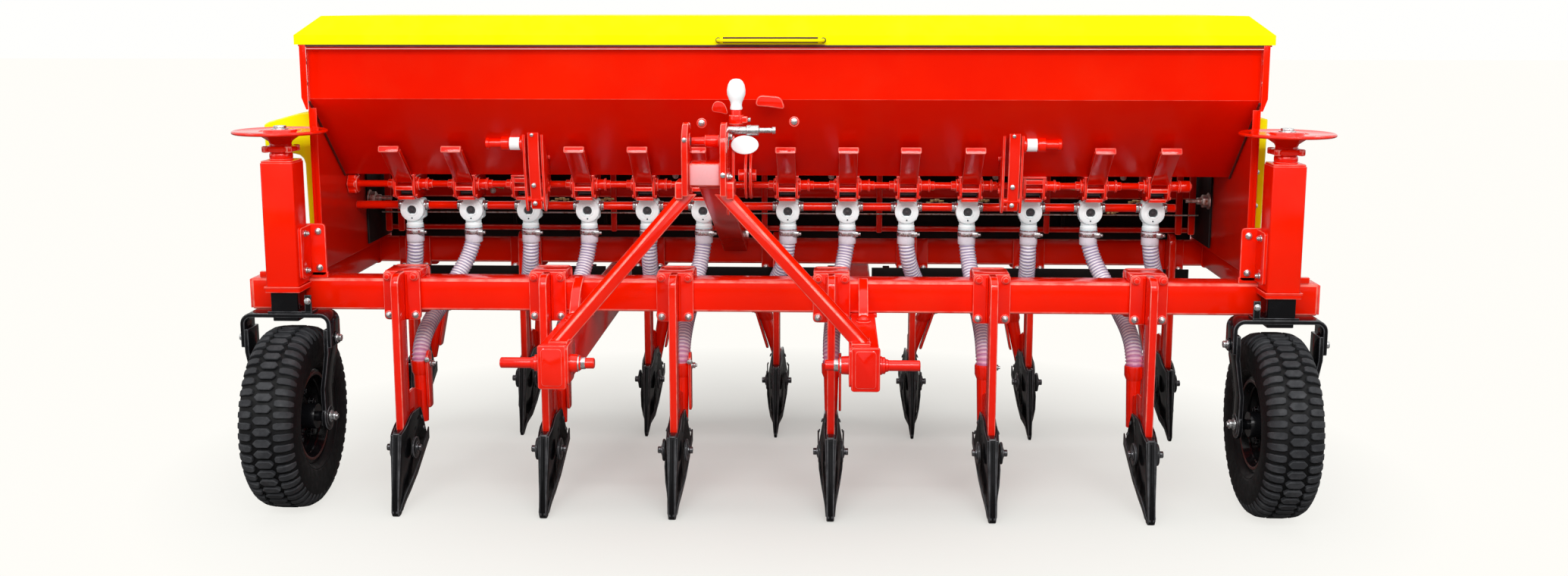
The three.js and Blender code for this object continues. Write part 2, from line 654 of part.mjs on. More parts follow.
const braceTopY = (MAST_FRONT + MAST_BACK) / 2;
const braceOffset = mastHalf + MAST_PLATE / 2;
function brace(fromX, toX) {
  const top = new THREE.Vector3(fromX, braceTopY, MAST_BOTTOM - GAP);
  const foot = new THREE.Vector3(toX, ARM_FRONT + 50, armTop + GAP);
  const past = foot.clone().sub(top).setLength(2 * BRACE_SIZE);
  const tube = beam(top.clone().sub(past).toArray(), foot.clone().add(past).toArray(), BRACE_SIZE, BRACE_SIZE);
  return tube.intersect(block([-1000, 1000], [-1000, 1000], [foot.z, top.z]));
}
node("mast_brace_left", brace(MAST_X - braceOffset, ARM_LEFT_X + 10), RED, machine);
node("mast_brace_right", brace(MAST_X + braceOffset, ARM_RIGHT_X - 10), RED, machine);

// ---- Depth wheels: column and handwheel on the frame, leg and fork that slide, wheel that turns ----
const columnHalf = COLUMN_SIZE / 2;
const boreHalf = columnHalf - COLUMN_WALL;
const square = (half, z0, z1) => block([-half, half], [-half, half], [z0, z1]);
const column = join(
  square(columnHalf, COLUMN_BOTTOM, COLUMN_TOP),
  square(columnHalf - 5, COLUMN_TOP - 1, COLUMN_TOP + COLUMN_CAP),
  block([-columnHalf - 3, columnHalf + 3], [-columnHalf - 3, columnHalf], [COLUMN_BOTTOM, COLUMN_BOTTOM + COLUMN_COLLAR]),
  block(
    [-BRACKET_WIDTH / 2, BRACKET_WIDTH / 2],
    [columnHalf - 1, columnHalf + BRACKET_THICKNESS],
    [BAR_TOP + LIFT + GAP, BAR_TOP + LIFT + GAP + BRACKET_HEIGHT],
  ),
).subtract(square(boreHalf, COLUMN_BOTTOM - 5, COLUMN_TOP - COLUMN_WALL));
const capTop = COLUMN_TOP + COLUMN_CAP;
const handwheel = turned(
  [
    [0, capTop + GAP],
    [25, capTop + GAP],
    [25, capTop + 15],
    [36, capTop + 19],
    [36, capTop + 29],
    [26, capTop + 33],
    [28, capTop + 39],
    [50, HANDWHEEL_Z - 7],
    [HANDWHEEL_RADIUS - 3, HANDWHEEL_Z - 7],
    [HANDWHEEL_RADIUS, HANDWHEEL_Z - 3.5],
    [HANDWHEEL_RADIUS - 3, HANDWHEEL_Z],
    [44, HANDWHEEL_Z],
    [30, HANDWHEEL_Z - 16],
    [0, HANDWHEEL_Z - 16],
  ],
  HOOP_SIDES,
);
const legHalf = boreHalf - LEG_CLEARANCE;
const forkInner = TYRE_WIDTH / 2 + FORK_SIDE_ROOM;
const forkOuter = forkInner + FORK_BAR;
const barInner = TYRE_WIDTH / 2 + LEG_BAR_GAP;
const flangeRadius = RIM_RADIUS + 10;
function leg() {
  const tube = square(legHalf, FORK_TOP - 2, LEG_TOP);
  const corner = 24;
  const archOutline = [
    [-forkOuter, FORK_SHOULDER],
    ...arc([-forkOuter + corner, FORK_TOP - corner], corner, 180, 90, 3),
    ...arc([forkOuter - corner, FORK_TOP - corner], corner, 90, 0, 3),
    [forkOuter, FORK_SHOULDER],
    [forkInner, FORK_SHOULDER],
    ...arc([forkOuter - corner, FORK_TOP - corner], corner - FORK_BAR, 0, 90, 3),
    ...arc([-forkOuter + corner, FORK_TOP - corner], corner - FORK_BAR, 90, 180, 3),
    [-forkInner, FORK_SHOULDER],
  ];
  const arch = plate("Y", archOutline, -FORK_DEPTH / 2, FORK_DEPTH / 2);
  const legBars = [-1, 1].map((side) => {
    const line = [
      [forkInner + 1, FORK_SHOULDER + 35],
      [forkInner + 1, FORK_SHOULDER - 12],
      [barInner + FORK_BAR - 2, WHEEL_RADIUS + 71],
      [barInner + FORK_BAR - 2, WHEEL_RADIUS - 24],
    ];
    const bar = plate("Y", folded(line, -(FORK_BAR - 2)), -20, 20);
    return side > 0 ? bar : bar.mirror([1, 0, 0]);
  });
  const bosses = [-barInner - FORK_BAR, barInner + 1].map((left) =>
    rod("X", 24, left, left + FORK_BAR - 1, [0, WHEEL_RADIUS], 12),
  );
  const axle = rod("X", AXLE_RADIUS, -barInner - FORK_BAR - 12, barInner + FORK_BAR + 12, [0, WHEEL_RADIUS], 24);
  return join(tube, arch, legBars, bosses, axle);
}
const legSolid = leg();
function tyre() {
  const half = TYRE_WIDTH / 2;
  const bead = RIM_WIDTH / 2 - RIM_FLANGE - GAP;
  const seat = RIM_RADIUS + GAP;
  const crown = WHEEL_RADIUS;
  return turned(
    [
      [seat, -bead],
      [seat, bead],
      [flangeRadius + GAP, bead],
      [crown - 50, half],
      [crown - 14, half - 7],
      [crown - 3, half - 24],
      [crown, 0],
      [crown - 3, -half + 24],
      [crown - 14, -half + 7],
      [crown - 50, -half],
      [flangeRadius + GAP, -bead],
      [seat, -bead],
    ],
    WHEEL_SIDES,
    "X",
  );
}
function rim() {
  const half = RIM_WIDTH / 2;
  const hub = AXLE_RADIUS + AXLE_CLEARANCE;
  const well = RIM_RADIUS - 12;
  return turned(
    [
      [hub, -HUB_HALF],
      [hub + 16, -HUB_HALF],
      [hub + 16, -10],
      [well - 4, -10],
      [RIM_RADIUS - 5, -half],
      [flangeRadius, -half],
      [flangeRadius, -half + RIM_FLANGE],
      [RIM_RADIUS, -half + RIM_FLANGE],
      [well, -half + 18],
      [well, half - 18],
      [RIM_RADIUS, half - RIM_FLANGE],
      [flangeRadius, half - RIM_FLANGE],
      [flangeRadius, half],
      [RIM_RADIUS - 5, half],
      [well - 4, 0],
      [hub + 16, 0],
      [hub + 16, HUB_HALF],
      [hub, HUB_HALF],
      [hub, -HUB_HALF],
    ],
    WHEEL_SIDES,
    "X",
  );
}
const tyreSolid = tyre();
const rimSolid = rim();
for (const [side, group] of ENDS) {
  const stand = new THREE.Group();
  stand.position.set(COLUMN_X, COLUMN_Y, -LIFT);
  group.add(stand);
  node(`column_${side}`, column, RED, stand);
  node(`handwheel_${side}`, handwheel, RED, stand);
  node(`leg_${side}`, legSolid, BLACK, stand);
  const wheel = new THREE.Group();
  wheel.position.z = WHEEL_RADIUS;
  stand.add(wheel);
  node(`tyre_${side}`, tyreSolid, RUBBER, wheel);
  node(`rim_${side}`, rimSolid, BLACK, wheel);
}

// ---- Seed hoses: outlets and tines pair up across the machine, rear and front rows in turn ----
// Each point is [backward share, height, pass share, boot share]: the backward share runs from 0 at the outlet
// to 1 at the boot. Sideways the hose starts under the outlet, the pass share takes it beside a rear shank, and
// the boot share takes it to the line of the boot.
const HOSE_PASS_X = SHANK_WIDTH / 2 + HOSE_DIAMETER / 2 + 2.5;
const HOSE_PASS_Z = BAR_BOTTOM - CLAMP_REACH - HOSE_DIAMETER / 2 - 11;
const FRONT_ROUTE = [
  [0, SPOUT_BOTTOM - 1, 0, 0],
  [0, 585, 0, 0],
  [0.004, 564, 0, 0.04],
  [0.045, 525, 0, 0.2],
  [0.16, 482, 0, 0.46],
  [0.33, 445, 0, 0.66],
  [0.54, 414, 0, 0.82],
  [0.736, 388, 0, 0.93],
  [0.89, 360, 0, 0.99],
  [0.98, 332, 0, 1],
  [1, 316, 0, 1],
  [1, BOOT_TOP + 1, 0, 1],
];
const REAR_ROUTE = [
  [0, SPOUT_BOTTOM - 1, 0, 0],
  [0, 585, 0, 0],
  [0.0025, 564, 0.02, 0],
  [0.027, 522, 0.12, 0],
  [0.09, 478, 0.34, 0],
  [0.18, HOSE_PASS_Z + 32, 0.6, 0],
  [0.3, HOSE_PASS_Z + 10, 0.84, 0],
  [0.44, HOSE_PASS_Z + 1, 1, 0],
  [0.595, HOSE_PASS_Z, 1, 0],
  [0.742, HOSE_PASS_Z, 0.96, 0.04],
  [0.862, HOSE_PASS_Z - 10, 0.6, 0.4],
  [0.951, 374, 0.2, 0.8],
  [0.993, 343, 0, 1],
  [1, 320, 0, 1],
  [1, BOOT_TOP + 1, 0, 1],
];
function hose(route, outletX, tineX, bootY, lean) {
  const passX = (Math.sign(lean) || 1) * HOSE_PASS_X;
  const points = route.map(([back, z, pass, boot]) => {
    const bootX = (lean * (z - BOOT_BOTTOM)) / (BOOT_TOP - BOOT_BOTTOM);
    const x = (outletX - tineX) * (1 - pass - boot) + passX * pass + bootX * boot;
    return new THREE.Vector3(tineX + x, OUTLET_Y + (bootY - OUTLET_Y) * back, z);
  });
  const path = new THREE.CatmullRomCurve3(points, false, "centripetal");
  const ring = arc([0, 0], HOSE_DIAMETER / 2, 0, 360, 8).slice(0, 8);
  const section = new THREE.Shape(ring.map(([u, v]) => new THREE.Vector2(u, v)));
  return solid(new THREE.ExtrudeGeometry(section, { steps: 10, bevelEnabled: false, extrudePath: path }));
}
OUTLET_X.forEach((x, i) => {
  const rear = i % 2 === 0;
  const place = Math.floor(i / 2);
  const route = rear ? REAR_ROUTE : FRONT_ROUTE;
  const tineX = rear ? TINE_X_REAR[place] : TINE_X_FRONT[place];
  const bootY = BOOT_SETBACK + (rear ? BAR_SPACING : 0);
  const lean = rear ? BOOT_LEAN_REAR[place] : 0;
  node(`seed_hose_${i + 1}`, hose(route, x, tineX, bootY, lean), HOSE, hoses);
});

// ---- The whole machine, its origin at the bottom centre of its box ----
const part = new THREE.Group();
part.add(machine, hoses);
const extent = new THREE.Box3().setFromObject(machine);
const centre = extent.getCenter(new THREE.Vector3());
machine.position.set(-centre.x, -centre.y, -extent.min.z);
hoses.position.copy(machine.position);

export default part;
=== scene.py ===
"""Tractor-mounted seed drill: the looks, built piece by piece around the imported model.

Shapes are drawn in millimetres, +X to the right and +Y to the rear as the tractor sees it, with Y = 0 on the
centre line of the front bar. Each finished piece is moved to the model's own frame, in metres.
"""

import logging
import math
from dataclasses import dataclass, field
from enum import Enum
from typing import Callable, ClassVar, Iterable, Iterator, Sequence

import bmesh
import bpy
from bmesh.types import BMesh, BMEdge, BMVert
from mathutils import Matrix, Vector


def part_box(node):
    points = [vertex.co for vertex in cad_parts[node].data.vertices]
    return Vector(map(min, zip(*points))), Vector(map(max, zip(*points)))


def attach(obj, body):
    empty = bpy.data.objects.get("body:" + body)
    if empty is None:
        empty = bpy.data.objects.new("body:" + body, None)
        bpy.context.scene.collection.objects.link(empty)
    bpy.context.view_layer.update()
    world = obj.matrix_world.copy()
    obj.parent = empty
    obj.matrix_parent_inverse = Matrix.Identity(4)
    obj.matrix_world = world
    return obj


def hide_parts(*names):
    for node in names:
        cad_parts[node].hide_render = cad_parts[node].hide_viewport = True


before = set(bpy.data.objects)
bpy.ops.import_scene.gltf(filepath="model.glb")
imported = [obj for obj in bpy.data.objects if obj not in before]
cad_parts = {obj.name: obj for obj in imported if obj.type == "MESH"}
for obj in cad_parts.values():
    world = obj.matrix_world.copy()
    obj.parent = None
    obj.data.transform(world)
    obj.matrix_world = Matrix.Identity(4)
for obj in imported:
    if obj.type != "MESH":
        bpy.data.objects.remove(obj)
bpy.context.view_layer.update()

log = logging.getLogger("seed_drill")

MM = 0.001
GAP = 0.3  # between pieces that touch, mm
CURVE_STEPS = 24  # between two points of a smooth curve
MERGE = 1e-4  # vertices of one turned shape closer than this are one, mm
CLEAN = 0.01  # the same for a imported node's shape, mm
FLAT = math.radians(1)  # faces bent less than this are one
SHARP = math.radians(30)  # edges bent more than this are rounded
SMOOTH = math.radians(34)  # edges flatter than this are shaded smoothly
Span = tuple[float, float]
Point2 = tuple[float, float]
Point3 = tuple[float, float, float]
Colour = tuple[float, float, float]


def node_box(node: str) -> tuple[Vector, Vector]:
    """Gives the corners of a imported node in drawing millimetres.

    Args:
        node: The node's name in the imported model.

    Returns:
        The lowest and the highest corner.
    """
    low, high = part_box(node)
    shift = Vector((0.0, BAR_LINE, 0.0))
    return (Vector(low) - shift) / MM, (Vector(high) - shift) / MM


def middle(node: str) -> Vector:
    """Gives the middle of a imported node's box in drawing millimetres."""
    low, high = node_box(node)
    return (low + high) / 2


_bar_low, _bar_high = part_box("front_bar")
BAR_LINE = (_bar_low[1] + _bar_high[1]) / 2
TO_FRAME = Matrix.Translation((0.0, BAR_LINE, 0.0)) @ Matrix.Scale(MM, 4)


class Axis(Enum):
    """The direction a profile is pushed or turned along; the columns are its right, up and forward."""

    X = ((0, 1, 0), (0, 0, 1), (1, 0, 0))
    Y = ((1, 0, 0), (0, 0, 1), (0, 1, 0))
    Z = ((1, 0, 0), (0, 1, 0), (0, 0, 1))

    def matrix(self) -> Matrix:
        """Gives the matrix that takes a shape drawn upright along Z to this axis."""
        return Matrix(self.value).transposed().to_4x4()


class Side(Enum):
    """One end of the machine, as the tractor sees it."""

    LEFT = "left"
    RIGHT = "right"

    @property
    def sign(self) -> int:
        """Gives -1 for the left and 1 for the right."""
        return 1 if self is Side.RIGHT else -1


class Form:
    """A shape under construction, in drawing millimetres, made of closed pieces of mesh."""

    def __init__(self) -> None:
        """Starts an empty shape."""
        self.bm: BMesh = bmesh.new()
        # Marks rounded faces; the enamel paints a pale highlight on them in patches.
        self.edge = self.bm.faces.layers.float.new("edge")

    def settle(self, verts: Iterable[BMVert], matrix: Matrix, bevel: float, segments: int) -> "Form":
        """Moves new vertices into place and rounds their sharp edges.

        Args:
            verts: The vertices just made.
            matrix: Where they go.
            bevel: Width of the rounding, or 0 for none.
            segments: Steps of the rounding.

        Returns:
            This form.
        """
        fresh = list(verts)
        bmesh.ops.transform(self.bm, matrix=matrix, verts=fresh)
        if bevel > 0:
            self.bm.normal_update()
            inside = set(fresh)
            edges = {e for v in fresh for e in v.link_edges if e.verts[0] in inside and e.verts[1] in inside}
            sharp = sorted(
                (e for e in edges if len(e.link_faces) == 2 and abs(e.calc_face_angle(0.0)) > SHARP),
                key=edge_order,
            )
            rounding = bmesh.ops.bevel(
                self.bm,
                geom=sharp,
                offset=bevel,
                segments=segments,
                profile=0.5,
                affect="EDGES",
                clamp_overlap=True,
                material=-1,
            )
            for face in rounding["faces"]:
                face[self.edge] = 1.0
        return self

    def block(self, x: Span, y: Span, z: Span, bevel: float = 1.5, segments: int = 2) -> "Form":
        """Adds a box between three spans, rounded by no more than a third of its thinnest side."""
        made = bmesh.ops.create_cube(self.bm, size=1.0)["verts"]
        size = [high - low for low, high in (x, y, z)]
        centre = Matrix.Translation([(low + high) / 2 for low, high in (x, y, z)])
        bevel = min(bevel, min(abs(side) for side in size) / 3)
        return self.settle(made, centre @ Matrix.Diagonal((*size, 1.0)), bevel, segments)

    def rod(
        self,
        axis: Axis,
        radius: float,
        span: Span,
        at: Point2,
        sides: int = 24,
        bevel: float = 0.0,
        end_radius: float | None = None,
    ) -> "Form":
        """Adds a round bar or a cone.

        Args:
            axis: The direction it runs in.
            radius: Its radius where the span starts.
            span: Where it starts and ends along the axis.
            at: Its centre across the axis: (y, z) along X, (x, z) along Y, (x, y) along Z.
            sides: How many sides stand for the round.
            bevel: Rounding of the two rims.
            end_radius: Its radius where the span ends, if that differs.

        Returns:
            This form.
        """
        length = span[1] - span[0]
        made = bmesh.ops.create_cone(
            self.bm,
            cap_ends=True,
            segments=sides,
            radius1=radius,
            radius2=radius if end_radius is None else end_radius,
            depth=length,
        )["verts"]
        place = axis.matrix() @ Matrix.Translation((at[0], at[1], span[0] + length / 2))
        return self.settle(made, place, bevel, 2)

    def ball(self, centre: Point3, radius: float, squash: Point3 = (1.0, 1.0, 1.0), rings: int = 16) -> "Form":
        """Adds a sphere, squashed by three factors."""
        made = bmesh.ops.create_uvsphere(self.bm, u_segments=2 * rings, v_segments=rings, radius=radius)["verts"]
        return self.settle(made, Matrix.Translation(centre) @ Matrix.Diagonal((*squash, 1.0)), 0.0, 0)

    def plate(
        self, axis: Axis, outline: Sequence[Point2], span: Span, bevel: float = 1.2, segments: int = 2
    ) -> "Form":
        """Adds an outline pushed along an axis.

        Args:
            axis: The direction of the push.
            outline: Its corners: (y, z) along X, (x, z) along Y, (x, y) along Z.
            span: Where the push starts and ends.
            bevel: Rounding of its edges.
            segments: Steps of the rounding.

        Returns:
            This form.
        """
        start = [self.bm.verts.new((u, v, span[0])) for u, v in outline]
        face = self.bm.faces.new(start)
        pushed = bmesh.ops.extrude_face_region(self.bm, geom=[face], use_keep_orig=True)["geom"]
        end = [g for g in pushed if isinstance(g, BMVert)]
        bmesh.ops.translate(self.bm, vec=(0.0, 0.0, span[1] - span[0]), verts=end)
        return self.settle(start + end, axis.matrix(), bevel, segments)

    def panel(
        self, axis: Axis, u: Span, v: Span, corner: float, span: Span, bevel: float = 1.2, segments: int = 2
    ) -> "Form":
        """Adds a rectangle with rounded corners pushed along an axis.

        Args:
            axis: The direction of the push.
            u: Where the rectangle starts and ends on the first axis across.
            v: The same on the second.
            corner: How far from a corner its rounding starts.
            span: Where the push starts and ends.
            bevel: Rounding of its edges.
            segments: Steps of the rounding.

        Returns:
            This form.
        """
        return self.plate(axis, rounded(rectangle(u, v), corner), span, bevel, segments)

    def lathe(self, axis: Axis, profile: Sequence[Point2], at: Point3 = (0.0, 0.0, 0.0), sides: int = 48) -> "Form":
        """Adds a profile of (radius, height) points turned about an axis through a point.

        Args:
            axis: The axis that it is turned about, with the heights along it.
            profile: A closed outline where no point lies on the axis, or one that starts and ends on it.
            at: The point where the height is 0.
            sides: Steps of the turn.

        Returns:
            This form.
        """
        line = [self.bm.verts.new((r, 0.0, h)) for r, h in profile]
        closed = min(r for r, _ in profile) > 0
        pairs = zip(line, line[1:] + line[:1] if closed else line[1:])
        edges = [self.bm.edges.new(pair) for pair in pairs]
        bmesh.ops.spin(
            self.bm,
            geom=line + edges,
            cent=(0.0, 0.0, 0.0),
            axis=(0.0, 0.0, 1.0),
            angle=2 * math.pi,
            steps=sides,
            use_merge=True,
        )
        fresh = connected(line)
        bmesh.ops.remove_doubles(self.bm, verts=list(fresh), dist=MERGE)
        fresh = {v for v in fresh if v.is_valid}
        return self.settle(fresh, Matrix.Translation(at) @ axis.matrix(), 0.0, 0)

    def wire(self, points: Sequence[Point3], radius: float, sides: int = 12, closed: bool = False) -> "Form":
        """Adds a round wire bent smoothly through points."""
        mesh = swept(points, [1.0] * len(points), radius, sides, closed)
        self.take(mesh)
        bpy.data.meshes.remove(mesh)
        return self

    def bolt(
        self, axis: Axis, face: float, at: Point2, out: int = 1, size: float = 15.0, stud: float = 0.0
    ) -> "Form":
        """Adds a hexagon head on a washer, on a face across an axis.

        Args:
            axis: The direction of the bolt.
            face: Where the face lies along it.
            at: The bolt's centre across the axis.
            out: 1 where the head points along the axis, -1 where it points back.
            size: The head's width across flats.
            stud: How far a threaded end sticks out past the head.

        Returns:
            This form.
        """
        seat, top = face + out * 2.2, face + out * (2.2 + 0.55 * size)
        self.rod(axis, 0.72 * size, ordered(face - out, seat), at, 18, 0.5)
        self.rod(axis, size / math.sqrt(3), ordered(seat, top), at, 6, 0.09 * size)
        if stud:
            self.rod(axis, 0.3 * size, ordered(top - out, top + out * stud), at, 12, 0.8)
        return self

    def dome(self, axis: Axis, face: float, at: Point2, out: int = 1, radius: float = 6.0) -> "Form":
        """Adds a low round rivet head on a face across an axis."""
        self.rod(axis, radius, ordered(face - out, face + out * 0.5 * radius), at, 16, 0.35 * radius)
        return self

    def move(self, matrix: Matrix) -> "Form":
        """Moves the whole shape by a matrix."""
        bmesh.ops.transform(self.bm, matrix=matrix, verts=self.bm.verts)
        return self

    def score(self, normal: Point3, places: Iterable[float]) -> "Form":
        """Cuts the faces across a direction at distances from the origin, so that they can bend there."""
        for place in places:
            bmesh.ops.bisect_plane(
                self.bm,
                geom=[*self.bm.verts, *self.bm.edges, *self.bm.faces],
                plane_co=Vector(normal) * place,
                plane_no=normal,
            )
        return self

    def take(self, mesh: bpy.types.Mesh, matrix: Matrix = Matrix()) -> "Form":
        """Adds a copy of a finished mesh, moved by a matrix."""
        moved = mesh.copy()
        moved.transform(matrix)
        self.bm.from_mesh(moved)
        bpy.data.meshes.remove(moved)
        self.edge = self.bm.faces.layers.float.get("edge") or self.bm.faces.layers.float.new("edge")
        return self

    def join(self, other: "Form", matrices: Iterable[Matrix] = (Matrix(),)) -> "Form":
        """Adds moved copies of another shape, which is used up."""
        mesh = bpy.data.meshes.new("pattern")
        other.bm.to_mesh(mesh)
        other.bm.free()
        for matrix in matrices:
            self.take(mesh, matrix)
        bpy.data.meshes.remove(mesh)
        return self

    def copies(self, matrices: Iterable[Matrix]) -> "Form":
        """Gives a shape made of moved copies of this one, which is used up."""
        return Form().join(self, matrices)

    def reshape(self, move: Callable[[Vector], Vector]) -> "Form":
        """Moves every vertex by a rule."""
        for vert in self.bm.verts:
            vert.co = move(vert.co)
        return self

    def deliver(
        self, name: str, finish: "Finish", *nodes: str, body: str = "frame", slot: str | None = None
    ) -> bpy.types.Object:
        """Turns the shape into a finished piece of the machine.

        Args:
            name: The piece's name.
            finish: Its surface.
            nodes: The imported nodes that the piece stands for.
            body: The moving body that it rides on.
            slot: The material slot, where it isn't the finish's own.

        Returns:
            The new object.
        """
        bmesh.ops.recalc_face_normals(self.bm, faces=self.bm.faces)
        bmesh.ops.transform(self.bm, matrix=TO_FRAME, verts=self.bm.verts)
        mesh = bpy.data.meshes.new(name)
        self.bm.to_mesh(mesh)
        self.bm.free()
        if mesh.has_custom_normals:
            mesh.attributes.remove(mesh.attributes["custom_normal"])
        mesh.polygons.foreach_set("use_smooth", [True] * len(mesh.polygons))
        mesh.set_sharp_from_angle(angle=SMOOTH)
        return report(bpy.data.objects.new(name, mesh), finish, body, slot or finish.slot, nodes)


def shifted(x: float = 0.0, y: float = 0.0, z: float = 0.0) -> Matrix:
    """Gives the matrix that moves a shape by so much."""
    return Matrix.Translation((x, y, z))


def ordered(a: float, b: float) -> Span:
    """Gives two numbers, the lower one first."""
    return (a, b) if a < b else (b, a)


def edge_order(edge: BMEdge) -> tuple[float, ...]:
    """Gives a steady sorting key for an edge, from where it lies."""
    a, b = (tuple(round(c, 4) for c in v.co) for v in edge.verts)
    return (*min(a, b), *max(a, b))


def round_steps(centre: Point2, radius: float, count: int, start: float = 0.0) -> list[Point2]:
    """Gives points spaced evenly round a circle, from a starting angle in degrees."""
    return arc(centre, radius, start, start + 360.0 * (count - 1) / count, count - 1)


def connected(verts: Iterable[BMVert]) -> set[BMVert]:
    """Gives all the vertices joined to the given ones by edges."""
    found, todo = set(verts), list(verts)
    while todo:
        for edge in todo.pop().link_edges:
            for other in edge.verts:
                if other not in found:
                    found.add(other)
                    todo.append(other)
    return found


def report(
    piece: bpy.types.Object, finish: "Finish", body: str, slot: str | None, replaces: Sequence[str]
) -> bpy.types.Object:
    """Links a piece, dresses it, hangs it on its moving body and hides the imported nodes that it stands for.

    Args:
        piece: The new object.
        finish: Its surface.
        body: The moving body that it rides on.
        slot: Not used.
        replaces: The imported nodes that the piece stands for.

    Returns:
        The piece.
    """
    bpy.context.scene.collection.objects.link(piece)
    piece.data.materials.append(finish.material())
    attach(piece, body)
    if replaces:
        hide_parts(*replaces)
    log.info("%s rides on %s", piece.name, body)
    return piece


def spline_curve(
    points: Sequence[Point3], radii: Sequence[float], radius: float, sides: int, closed: bool
) -> bpy.types.Curve:
    """Makes a round tube's curve through points.

    Args:
        points: The centre line.
        radii: The share of the radius at each point.
        radius: The tube's radius.
        sides: How many sides stand for the round.
        closed: Whether the tube runs back into itself.

    Returns:
        The curve.
    """
    curve = bpy.data.curves.new("line", "CURVE")
    curve.dimensions = "3D"
    curve.bevel_depth = radius
    curve.bevel_resolution = max(0, sides // 4 - 1)
    curve.use_fill_caps = not closed
    spline = curve.splines.new("POLY")
    spline.points.add(len(points) - 1)
    for knot, point, share in zip(spline.points, points, radii):
        knot.co = (*point, 1.0)
        knot.radius = share
    spline.use_cyclic_u = closed
    return curve


def swept(
    points: Sequence[Point3], radii: Sequence[float], radius: float, sides: int, closed: bool = False
) -> bpy.types.Mesh:
    """Makes a tube's mesh along points, with the arguments of spline_curve."""
    curve = spline_curve(points, radii, radius, sides, closed)
    holder = bpy.data.objects.new("line", curve)
    mesh = bpy.data.meshes.new_from_object(holder)
    bpy.data.objects.remove(holder)
    bpy.data.curves.remove(curve)
    return mesh


def eased(points: Sequence[Point3], step: float) -> list[Vector]:
    """Runs a smooth centripetal curve through points.

    Args:
        points: The points that it passes.
        step: About how far apart the results are.

    Returns:
        Points on the curve at even distances.
    """
    knots = [Vector(p) for p in points]
    ends = [2 * knots[0] - knots[1], *knots, 2 * knots[-1] - knots[-2]]
    line: list[Vector] = []
    for a, b, c, d in zip(ends, ends[1:], ends[2:], ends[3:]):
        t1, t2, t3 = (max(math.sqrt((q - p).length), 1e-6) for p, q in ((a, b), (b, c), (c, d)))
        out = (b - a) / t1 - (c - a) / (t1 + t2) + (c - b) / t2
        into = (c - b) / t2 - (d - b) / (t2 + t3) + (d - c) / t3
        for t in (i / CURVE_STEPS for i in range(CURVE_STEPS)):
            line.append(
                b * (2 * t**3 - 3 * t**2 + 1)
                + out * t2 * (t**3 - 2 * t**2 + t)
                + c * (3 * t**2 - 2 * t**3)
                + into * t2 * (t**3 - t**2)
            )
    line.append(knots[-1])
    return even(line, step)


def even(line: Sequence[Vector], step: float) -> list[Vector]:
    """Spaces a line's points evenly.

    Args:
        line: Points close together.
        step: The distance wanted between neighbours.

    Returns:
        The new points, with the two ends kept.
    """
    lengths = [(b - a).length for a, b in zip(line, line[1:])]
    count = max(2, round(sum(lengths) / step))
    pitch, out, walked, i = sum(lengths) / count, [line[0].copy()], 0.0, 0
    for k in range(1, count):
        while walked + lengths[i] < k * pitch:
            walked += lengths[i]
            i += 1
        out.append(line[i].lerp(line[i + 1], (k * pitch - walked) / lengths[i]))
    return [*out, line[-1].copy()]


def arc(centre: Point2, radius: float, start: float, end: float, steps: int) -> list[Point2]:
    """Gives points on an arc, from one angle in degrees to another."""
    angles = (math.radians(start + (end - start) * i / steps) for i in range(steps + 1))
    return [(centre[0] + radius * math.cos(a), centre[1] + radius * math.sin(a)) for a in angles]


def rounded(outline: Sequence[Point2], radius: float, steps: int = 4) -> list[Point2]:
    """Rounds the corners of an outline.

    Args:
        outline: Its corners.
        radius: How far from a corner the rounding starts.
        steps: Steps of each rounding.

    Returns:
        The new outline.
    """
    out: list[Point2] = []
    corners = [Vector(p) for p in outline]
    for before, corner, after in zip(corners[-1:] + corners, corners, corners[1:] + corners[:1]):
        start = corner + (before - corner).normalized() * min(radius, (before - corner).length / 2.1)
        end = corner + (after - corner).normalized() * min(radius, (after - corner).length / 2.1)
        for i in range(steps + 1):
            t = i / steps
            point = start * (1 - t) ** 2 + corner * 2 * t * (1 - t) + end * t**2
            out.append((point.x, point.y))
    return out


def rectangle(u: Span, v: Span) -> list[Point2]:
    """Gives the corners of a rectangle between two spans."""
    return [(u[0], v[0]), (u[1], v[0]), (u[1], v[1]), (u[0], v[1])]


def copy_of_node(node: str, bevel: float, segments: int = 2) -> Form:
    """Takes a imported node's shape, cleans it and rounds its edges.

    Args:
        node: The node's name.
        bevel: Width of the rounding.
        segments: Steps of the rounding.

    Returns:
        The form, ready to deliver.
    """
    form = Form()
    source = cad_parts[node]
    form.take(source.data)
    bmesh.ops.transform(form.bm, matrix=TO_FRAME.inverted() @ source.matrix_world, verts=form.bm.verts)
    bmesh.ops.remove_doubles(form.bm, verts=form.bm.verts, dist=CLEAN)
    bmesh.ops.dissolve_limit(form.bm, angle_limit=FLAT, verts=form.bm.verts, edges=form.bm.edges)
    return form.settle(form.bm.verts, Matrix(), bevel, segments)


